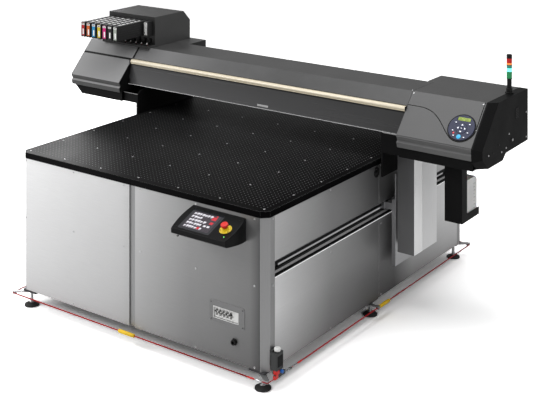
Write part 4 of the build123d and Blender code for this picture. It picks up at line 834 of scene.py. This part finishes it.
# belt guard strip and the folded lip under each side slot; the glowing lip and rail runner are painted
# highlights, and the black strips are painted shade inside the slot
BELT_GUARD = metal("belt_guard", (0.34, 0.34, 0.343), 0.45, 0.5, (1, 40, 1), 12, 0.2)
LIP_HIGHLIGHT = glow("slot_lip_highlight", (0.60, 0.60, 0.61), 0.5, (0.85, 0.85, 0.86), 0.4)
RUNNER_HIGHLIGHT = glow("rail_runner_highlight", (0.40, 0.40, 0.41), 0.55, grey(0.5), 0.4)
slot = Parts()
for side in (-1, 1):
    for near, far, reach, low, high, index in (
        (0.8856, 0.8870, 1.024, 0.5765, 0.5905, 0),
        (0.8856, 0.8870, 1.024, 0.5662, 0.5764, 2),
        (0.8871, 0.8984, 1.024, 0.5651, 0.5656, 2),
        (0.8985, 0.9036, 1.028, 0.5636, 0.5664, 1),
        (0.8460, 0.8475, 0.930, 0.5450, 0.5955, 2),
        (0.8502, 0.8514, 0.930, 0.5865, 0.5975, 3),
    ):
        slot.box((side * near, side * far), (-reach, reach), (low, high), index)
slot.done("slot_strips", [BELT_GUARD, LIP_HIGHLIGHT, TRAY, RUNNER_HIGHLIGHT], "bed", 0.0004, 1)

# threads and nuts of the levelling feet
threads = Parts()
THREADS = 17
thread_profile = []
for k in range(THREADS):
    z = 0.024 + k * 0.003
    thread_profile += [(0.0080, z), (0.0092, z + 0.0015)]
nut_profile = [(0.012, 0.0208), (0.016, 0.0208), (0.017, 0.0225), (0.016, 0.0245), (0.012, 0.0252)]
for x in (-0.856, 0.0, 0.856):
    for y in (-1.071, 0.0, 1.071):
        if x == 0.0 and y != 0.0:
            continue
        threads.lathe(thread_profile, place((x, y, 0), (0, 0, 1)), 0, 16)
        threads.lathe(nut_profile, place((x, y, 0), (0, 0, 1)), 0, 18)
threads.done("feet_threads", [SCREW], "bed")

# ================================================================ gantry: ends, seams and trims
slope_matrix = sloping((0, 0.202, 0.215), (0, -0.081, 1.107))


def on_slope(x, up, out=0.0):
    """A frame standing on the gantry's sloping front, up from its lower edge and out from it."""
    return slope_matrix @ Matrix.Translation((x, up, out))


# screws at the cover corners, and the small plugs on the right end cap
trim = Parts()
pan = [(0.0052, 0), (0.0052, 0.0010), (0.0040, 0.0022), (0.0018, 0.0022), (0.0014, 0.0008)]
for x in (1.086, 1.530):
    trim.lathe(pan, on_slope(x, 0.281, -0.0002), 0, 14)
for x, y in ((-1.068, 0.128), (1.068, 0.128)):
    trim.lathe(pan, place((x, y, 1.322), (0, 0, 1)), 0, 14)
for x in (-1.04, -0.52, 0.0, 0.52, 1.04):
    trim.lathe(pan, place((x, 0.370, 1.322), (0, 0, 1)), 0, 14)
for y, z in ((0.03, 1.055), (0.26, 1.045), (0.54, 1.045), (0.54, 1.19), (0.30, 1.115), (0.20, 1.035)):
    trim.lathe(pan, place((1.598, y, z), (1, 0, 0), (0, 1, 0)), 0, 14)
trim.done("cover_screws", [SCREW], "print_unit")

end_details = Parts()
for y, z in ((0.09, 1.055), (0.16, 1.085)):
    spot = place((1.598, y, z), (1, 0, 0), (0, 1, 0))
    end_details.lathe([(0.006, 0), (0.006, 0.0012), (0.004, 0.002)], spot, 0, 16)
end_details.slats((1.5985, 1.6000), (0.388, 0.428), 1.186, 0.0095, 0.0042, 6)
end_details.box((1.5975, 1.5990), (0.384, 0.432), (1.180, 1.244), 1)
end_details.box((1.5978, 1.6010), (0.330, 0.352), (1.062, 1.084), 0)
end_details.box((1.6008, 1.6040), (0.335, 0.347), (1.067, 1.079), 2)
end_details.done("end_cap_details", [BLACK, CAP, SCREW], "print_unit", 0.0008)

# painted shade: a black strip at the floor of the left cover's groove darkens it
single_box("left_cover_groove", (-1.5245, -1.0765), (0.1822, 0.1958), (-0.0019, -0.0009), BLACK, "print_unit",
           slope_matrix, 0.0002, 1)

# gasket ring round the control disc
bezel = [(0.0795, -0.001), (0.0795, 0.0022), (0.0842, 0.0022), (0.0850, 0.0006), (0.0850, -0.001)]
single_turned("disc_bezel", bezel, on_slope(1.449, 0.117), BLACK, "print_unit", 56)

# keys, lamps and the display of the control panel
LCD = glow("panel_display", (0.42, 0.58, 0.05), 0.55, (0.20, 0.26, 0.03))
LCD_MARK = plastic("display_marks", (0.04, 0.06, 0.01), 0.3, 300, 0.00002, 0.0)
KEY_MARK = glow("key_marks", (0.78, 0.80, 0.86), 0.85, (0.7, 0.72, 0.78))
CYAN = glow("key_cyan", (0.03, 0.42, 0.75), 0.75, (0.02, 0.20, 0.35))
RED_LAMP = glow("key_red", (0.75, 0.06, 0.08), 0.5, (0.35, 0.03, 0.04))
panel = Parts()
key_profile = [(0.0062, 0.0048), (0.0062, 0.0064), (0.0050, 0.0072), (0.0020, 0.0074)]
panel.box((1.414, 1.488), (0.1595, 0.1785), (0.0035, 0.0052), 0, slope_matrix)
for row in range(2):
    for k in range(13):
        x = 1.4165 + k * 0.0054
        if (k * 5 + row * 3) % 7 != 2:
            up = 0.1612 + row * 0.0086
            panel.box((x, x + 0.0036), (up, up + 0.0060), (0.0051, 0.0054), 1, slope_matrix)
for x, up in ((1.409, 0.143), (1.493, 0.142), (1.404, 0.092), (1.496, 0.090), (1.418, 0.062), (1.482, 0.060)):
    panel.lathe(key_profile, on_slope(x, up), 2, 18)
    panel.box((x - 0.0042, x + 0.0042), (up - 0.0022, up + 0.0022), (0.0073, 0.0077), 3, slope_matrix)
panel.done("panel_keys", [LCD, LCD_MARK, KEY, KEY_MARK], "print_unit", 0.0002, 1)
lamps = Parts()
start_key = [(0.0130, 0.0046), (0.0130, 0.0060), (0.0112, 0.0070), (0.0060, 0.0074)]
red_lamp = [(0.0060, 0.0046), (0.0060, 0.0058), (0.0040, 0.0064)]
lamps.lathe(start_key, on_slope(1.450, 0.060), 0, 28)
lamps.lathe(red_lamp, on_slope(1.4130, 0.0780), 1, 18)
lamps.done("panel_lamps", [CYAN, RED_LAMP], "print_unit")
arrows = Parts()
for k in range(4):
    spin = on_slope(1.451, 0.112) @ Matrix.Rotation(k * math.pi / 2, 4, "Z")
    outline = ((-0.0062, 0.0175), (0.0062, 0.0175), (0.0, 0.0262))
    corners = [spin @ Vector((x, up, out)) for out in (0.0070, 0.0074) for x, up in outline]
    arrows.take(corners, [(2, 1, 0), (3, 4, 5), (0, 1, 4, 3), (1, 2, 5, 4), (2, 0, 3, 5)])
arrows.done("arrow_marks", [KEY_MARK], "arrow_keys")
single_box("enter_mark", (1.4470, 1.4550), (0.1108, 0.1132), (0.0074, 0.0078), KEY_MARK, "enter_button",
           slope_matrix)

# window: blank label near the lower edge, a glowing edge strip that is a painted highlight, and end clips
window_matrix = sloping((0, 0.028, 0.127), (0, 0.013, 1.087))
LABEL = plastic("blank_label", grey(0.42), 0.5, 400, 0.00005, 0.0)
EDGE_HIGHLIGHT = plastic("tray_edge_highlight", grey(0.38), 0.3, 400, 0.00005, 0.0)
window = Parts()
window.box((0.020, 0.104), (0.010, 0.022), (0.0001, 0.0006), 0, window_matrix)
window.box((-1.072, 1.072), (-0.0028, -0.0012), (-0.0030, 0.0018), 1, window_matrix)
window.done("window_trim", [LABEL, LIP_HIGHLIGHT], "window", 0.0003, 1)

# brackets between the light bar and the ends
clips = Parts()
for side in (-1, 1):
    clips.box((side * 1.074 - 0.003, side * 1.074 + 0.003), (0.026, 0.058), (1.205, 1.2475), 0)
clips.done("bar_ends", [BLACK], "print_unit", 0.0015)
single_box("light_bar_lip", (-1.0735, 1.0735), (0.0335, 0.0440), (1.2184, 1.2226), IVORY, "print_unit",
           bevel=0.001)

# painted shade: black strips in the gap between the left end cover and the beam's covers, and in the window's
# gap
single_box("left_cover_gap", (-1.0735, -1.0600), (0.1990, 0.2920), (0.0001, 0.0009), BLACK, "print_unit",
           slope_matrix)
single_box("window_gap", (-1.0725, -1.0600), (0.0005, 0.1230), (0.0001, 0.0008), BLACK, "window", window_matrix)

# slanted outer end of the left tray
outline = [(-1.4545, 0.9772), (-1.4545, 1.0362), (-1.5225, 1.0362)]
verts = [(x, y, z) for y in (-0.050, 0.400) for x, z in outline]
faces = [(0, 1, 2), (5, 4, 3), (0, 3, 4, 1), (1, 4, 5, 2), (2, 5, 3, 0)]
piece("left_tray_end", verts, faces, [TRAY], "print_unit", 0.001)

# painted highlight: a light strip along the upper edge of the tray walls
tray_edge = Parts()
tray_edge.box((0.956, 1.075), (-0.0322, -0.0262), (1.0925, 1.0942), 0)
tray_edge.box((-1.075, -0.948), (-0.0322, -0.0262), (1.0355, 1.0372), 0)
tray_edge.done("tray_edges", [EDGE_HIGHLIGHT], "print_unit", 0.0004, 1)

# ================================================================ leg covers
leg_low, leg_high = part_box("leg_covers")


def leg_finish():
    """Satin sheet with painted reflections: darker on the front face, with a bright strip along the side's
    front edge and a faint glow on the sides.
    """
    g = Graph("leg_sheet")
    brush = g.noise(9, 6, 0.65, (60, 60, 1))
    y = g.axis("Y")
    z = g.axis("Z")
    front = g.calc("LESS_THAN", y, leg_low.y + 0.0006)
    strip = g.calc("LESS_THAN", y, 0.2085)
    # painted reflection: a brighter strip along the side's front edge
    base = g.mix(strip, (0.86, 0.86, 0.865), grey(1.0))
    # painted shade: a darker front face, darkest toward the top
    painted_front_shade = g.mix(g.span(z, leg_low.z, leg_high.z, 0, 1), (0.210, 0.210, 0.214), (0.115, 0.115, 0.118))
    base = g.mix(front, base, painted_front_shade)
    base = g.mix(g.sway(brush, 0.0, 0.14), base, grey(0.3))
    # painted highlight: the cover's sharp edges are lightened
    base = edge_wear_and_highlight(g, base, 0.0014, 0.45, (0.85, 0.85, 0.86))
    g.set(Base_Color=base, Metallic=0.38, Roughness=g.span(brush, 0.25, 0.75, 0.36, 0.46))
    side = g.calc("SUBTRACT", 1.0, front)
    # painted reflection: a faint glow on the side faces, stronger on the bright strip
    painted_reflection_glow = g.calc("MULTIPLY", side, g.calc("ADD", 0.045, g.calc("MULTIPLY", strip, 0.06)))
    g.set(Emission_Color=(1, 1, 1, 1), Emission_Strength=painted_reflection_glow)
    g.bump(brush, 0.12, 0.00008, 0.0014)
    return g.material


paint("leg_covers", leg_finish())

# ================================================================ ink supply details
bay_low, bay_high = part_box("ink_bay")
INKS = ((0.40, 0.012, 0.015), (0.55, 0.11, 0.015), (0.015, 0.24, 0.46), (0.58, 0.44, 0.02),
        (0.55, 0.008, 0.17), grey(0.008), (0.34, 0.38, 0.33), (0.62, 0.62, 0.61))
CARTRIDGE = plastic("cartridge_shell", (0.022, 0.022, 0.0225), 0.38, 500, 0.0002, 0.5, grey(0.16))
LABEL_WHITE = plastic("label_white", (0.88, 0.88, 0.87), 0.45, 500, 0.00005, 0.0)
LABEL_DARK = plastic("label_dark", grey(0.02), 0.45, 500, 0.00005, 0.0)
for n, ink in enumerate(INKS, 1):
    node = f"ink_cartridge_{n}"
    body = f"cartridge_{n}"
    paint(node, CARTRIDGE)
    low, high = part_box(node)
    mid = (low.x + high.x) / 2
    colour = plastic(f"ink_label_{n}", ink, 0.4, 400, 0.00005, 0.0, None, 0.2)
    label = Parts()
    y0, y1 = low.y - 0.0007, low.y + 0.0004
    label.box((mid - 0.0135, mid + 0.0135), (y0, y1), (low.z + 0.010, high.z - 0.006), 0)
    label.box((mid - 0.0135, mid + 0.0135), (y0 - 0.0002, y1), (high.z - 0.020, high.z - 0.008), 1)
    label.box((mid - 0.0095, mid + 0.0095), (y0 - 0.0004, y1), (high.z - 0.0165, high.z - 0.0115), 2)
    label.box((mid - 0.0030, mid + 0.0085), (y0 - 0.0003, y1), (low.z + 0.018, low.z + 0.056), 1)
    label.box((mid - 0.0100, mid - 0.0060), (y0 - 0.0003, y1), (low.z + 0.018, low.z + 0.030), 2)
    label.done(f"cartridge_label_{n}", [colour, LABEL_WHITE, LABEL_DARK], body, 0.0002, 1)
    shell = Parts()
    for k in range(5):
        z = low.z + 0.020 + k * 0.016
        for side in (-1, 1):
            edge = mid + side * (high.x - low.x) / 2
            shell.box((edge - 0.0006, edge + 0.0006), (low.y + 0.020, 0.150), (z, z + 0.0030), 0)
    grip = (low.y + 0.008, low.y + 0.040)
    shell.box((mid - 0.011, mid + 0.011), grip, (high.z - 0.0004, high.z + 0.0012), 0)
    y = low.y + 0.046
    while y + 0.030 < 0.158:
        shell.box((mid - 0.0150, mid - 0.0035), (y, y + 0.026), (high.z - 0.0003, high.z + 0.0005), 1)
        y += 0.038
    shell.done(f"cartridge_ribs_{n}", [CARTRIDGE, LABEL_WHITE], body, 0.0003, 1)

bay = Parts()
valve = [(0.0045, 0), (0.0045, 0.010), (0.0030, 0.012), (0.0030, 0.016)]
for n in range(8):
    x = -1.355 + 0.050 * n
    bay.box((x - 0.021, x + 0.021), (bay_low.y + 0.0655, bay_low.y + 0.0700), (1.3965, 1.3985), 0)
    bay.box((x - 0.010, x + 0.010), (0.152, 0.1665), (1.344, 1.350), 0)
    bay.lathe(valve, place((x - 0.006, 0.128, 1.336), (0, 0.4, 1)), 1, 12)
    bay.box((x + 0.004, x + 0.010), (0.112, 0.120), (1.336, 1.343), 2)
    bay.box((x - 0.018, x + 0.018), (0.100, 0.110), (1.336, 1.345), 0)
bay.done("bay_fittings", [BLACK, LABEL_WHITE, RED], "print_unit", 0.0004, 1)
bay_trim = Parts()
for y in (0.20, 0.36, 0.50):
    bay_trim.lathe(pan, place((bay_low.x, y, 1.345), (-1, 0, 0), (0, 1, 0)), 0, 12)
bay_trim.slats((-1.330, -1.030), (bay_high.y - 0.0002, bay_high.y + 0.0012), 1.352, 0.011, 0.0045, 7, 1)
bay_trim.done("bay_screws", [SCREW, BLACK], "print_unit", 0.0003, 1)

# ================================================================ signal tower lenses
tower_low, tower_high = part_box("tower_lenses")
tower_axis = (tower_low + tower_high) / 2
tower_matrix = place((tower_axis.x, tower_axis.y, 0), (0, 0, 1))
LENSES = (
    ("lens_green", (0.02, 0.30, 0.10), 0.35, 0.000, 0.039),
    ("lens_lit", (0.12, 0.95, 0.62), 2.6, 0.0395, 0.059),
    ("lens_teal", (0.04, 0.30, 0.24), 0.35, 0.059, 0.0785),
    ("lens_amber", (0.95, 0.30, 0.06), 0.75, 0.079, 0.090),
    ("lens_red", (0.60, 0.010, 0.008), 0.35, 0.090, 0.118),
)
tower = Parts()
finishes = []
for index, (name, colour, power, low, high) in enumerate(LENSES):
    finishes.append(glow(name, colour, power, [c * 0.6 for c in colour], 0.2))
    rows = max(3, int((high - low) / 0.0028))
    profile = []
    for k in range(rows):
        z = tower_low.z + low + (high - low) * k / rows
        step = (high - low) / rows
        profile += [(0.0150, z), (0.0157, z + step * 0.5)]
    profile.append((0.0150, tower_low.z + high))
    tower.lathe(profile, tower_matrix, index, 32)
tower_piece = tower.done("tower_glass", finishes, "print_unit")
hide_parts("tower_lenses")
rings = Parts()
for z in (0.000, 0.039, 0.0785, 0.118):
    rings.lathe([(0.0140, -0.0014), (0.0164, -0.0014), (0.0164, 0.0014), (0.0140, 0.0014)],
                tower_matrix @ Matrix.Translation((0, 0, tower_low.z + z)), 0, 32)
rings.done("tower_rings", [BLACK], "print_unit")

# ================================================================ waste bottle
def polythene():
    g = Graph("polythene")
    cloud = g.noise(12, 3)
    z = g.axis("Z")
    base = g.mix(g.span(z, 0.62, 0.86, 0, 1), (0.74, 0.74, 0.73), (0.88, 0.88, 0.87))
    base = g.mix(g.span(cloud, 0.35, 0.65, 0, 0.2), base, (0.42, 0.42, 0.41))
    g.set(Base_Color=base, Roughness=g.sway(cloud, 0.4, 0.55), Subsurface_Weight=0.15)
    g.bump(g.noise(250, 2), 0.2, 0.0002, 0.002)
    return g.material


paint("waste_bottle", polythene())
bottle_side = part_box("waste_bottle")[1].x
cap = Parts()
for k in range(24):
    spin = place((1.355, 0.192, 0), (0, 0, 1)) @ Matrix.Rotation(k * math.pi / 12, 4, "Z")
    cap.box((0.0226, 0.0240), (-0.0011, 0.0011), (0.8745, 0.8895), 0, spin)
cap.done("bottle_cap_ribs", [BLACK], "bottle", 0.0003, 1)
marks = Parts()
for k in range(9):
    z = 0.650 + k * 0.020
    along = (0.240, 0.252 if k % 2 else 0.262)
    marks.box((bottle_side - 0.0003, bottle_side + 0.0006), along, (z, z + 0.0012), 0)
marks.done("bottle_level_marks", [SWITCH], "bottle")

# ================================================================ rear details
rear = Parts()
for side in (-1, 1):
    rear.slats((side * 0.55 - 0.11, side * 0.55 + 0.11), (0.3795, 0.3812), 1.195, 0.0105, 0.0045, 9)
for x in (-1.0, -0.75, -0.35, 0.0, 0.35, 0.75, 1.0):
    for z in (1.180, 1.306):
        rear.lathe(pan, place((x, 0.380, z), (0, 1, 0)), 1, 12)
rear.done("beam_rear_vents", [BLACK, SCREW], "print_unit", 0.0005, 1)

# ================================================================ floor, light and camera
FLOOR_GAIN = 2.05


def by_camera(tree, other, seen, out):
    """Send one shader to the camera's rays and the other to all the rest."""
    path = tree.nodes.new("ShaderNodeLightPath")
    blend = tree.nodes.new("ShaderNodeMixShader")
    tree.links.new(path.outputs["Is Camera Ray"], blend.inputs[0])
    tree.links.new(other.outputs[0], blend.inputs[1])
    tree.links.new(seen.outputs[0], blend.inputs[2])
    tree.links.new(blend.outputs[0], out.inputs[0])


def floor_finish():
    """White paper: shown bright to the camera, and less bright to the object's reflections."""
    g = Graph("floor")
    cloud = g.noise(0.8, 2)
    bright = g.add("ShaderNodeBsdfDiffuse")
    plain = g.add("ShaderNodeBsdfDiffuse")
    g.put(bright.inputs[0], g.mix(cloud, (FLOOR_GAIN,) * 3, (FLOOR_GAIN * 1.02,) * 3))
    g.put(plain.inputs[0], g.mix(cloud, grey(0.78), grey(0.80)))
    by_camera(g.tree, plain, bright, g.out)
    return g.material


floor_mesh = bpy.data.meshes.new("floor")
SPREAD = 60
floor_corners = [(a * SPREAD, b * SPREAD, 0) for a, b in ((-1, -1), (1, -1), (1, 1), (-1, 1))]
floor_mesh.from_pydata(floor_corners, [], [(0, 1, 2, 3)])
floor_mesh.materials.append(floor_finish())
floor = bpy.data.objects.new("floor", floor_mesh)
floor.location.z = -0.0005
scene.collection.objects.link(floor)


def studio_world():
    """White to the camera; to everything else a room, brightest from the front left and above."""
    world = bpy.data.worlds.new("studio")
    world.use_nodes = True
    tree = world.node_tree
    tree.nodes.clear()
    out = tree.nodes.new("ShaderNodeOutputWorld")
    seen = tree.nodes.new("ShaderNodeBackground")
    seen.inputs["Color"].default_value = (1, 1, 1, 1)
    seen.inputs["Strength"].default_value = 1.05
    room = tree.nodes.new("ShaderNodeBackground")
    coord = tree.nodes.new("ShaderNodeTexCoord")
    ramp = tree.nodes.new("ShaderNodeMapRange")
    dot = tree.nodes.new("ShaderNodeVectorMath")
    dot.operation = "DOT_PRODUCT"
    dot.inputs[1].default_value = Vector((-0.62, -0.55, 0.56)).normalized()
    for key, number in (("From Min", -0.9), ("From Max", 1.0), ("To Min", 0.05), ("To Max", 0.87)):
        ramp.inputs[key].default_value = number
    tree.links.new(coord.outputs["Generated"], dot.inputs[0])
    tree.links.new(dot.outputs["Value"], ramp.inputs["Value"])
    tree.links.new(ramp.outputs[0], room.inputs["Strength"])
    by_camera(tree, room, seen, out)
    scene.world = world


def soft_box(name, location, aim, size, power):
    data = bpy.data.lights.new(name, "AREA")
    data.shape = "RECTANGLE"
    data.size, data.size_y = size
    data.energy = power
    light = bpy.data.objects.new(name, data)
    light.location = location
    light.visible_camera = False
    light.rotation_euler = (Vector(aim) - Vector(location)).to_track_quat("-Z", "Y").to_euler()
    scene.collection.objects.link(light)


studio_world()
soft_box("key_left", (-4.2, -5.0, 4.6), (0, 0, 0.8), (3.2, 2.6), 225)
soft_box("top", (0.5, -0.2, 5.4), (0, 0, 0.9), (4.0, 4.0), 150)
soft_box("right", (6.0, -1.0, 2.6), (1.0, 0, 0.9), (2.0, 3.0), 34)
soft_box("table_glare", (-5.3, 2.9, 2.7), (-0.7, -0.9, 0.92), (1.4, 1.0), 52)

HERO = Vector((4.380, -5.915, 3.000))
HERO_SHIFT = -0.73856
camera_data = bpy.data.cameras.new("camera")
camera_data.sensor_width = 36
camera_data.lens = 78.35
camera_data.clip_end = 200
camera = bpy.data.objects.new("camera", camera_data)
camera.location = HERO
camera.rotation_euler = (math.radians(90), 0, math.radians(35.79))
scene.collection.objects.link(camera)
scene.camera = camera
# The lens is shifted down only at the main viewpoint, so that other viewpoints see the object centred.
driver = camera_data.driver_add("shift_y").driver
driver.type = "SCRIPTED"
for name, channel in (("x", "LOC_X"), ("z", "LOC_Z")):
    variable = driver.variables.new()
    variable.name = name
    variable.type = "TRANSFORMS"
    variable.targets[0].id = camera
    variable.targets[0].transform_type = channel
driver.expression = f"{HERO_SHIFT:.5f} * (abs(x - {HERO.x}) < 0.001) * (abs(z - {HERO.z}) < 0.001)"

scene.view_settings.view_transform = "Standard"
scene.view_settings.look = "None"
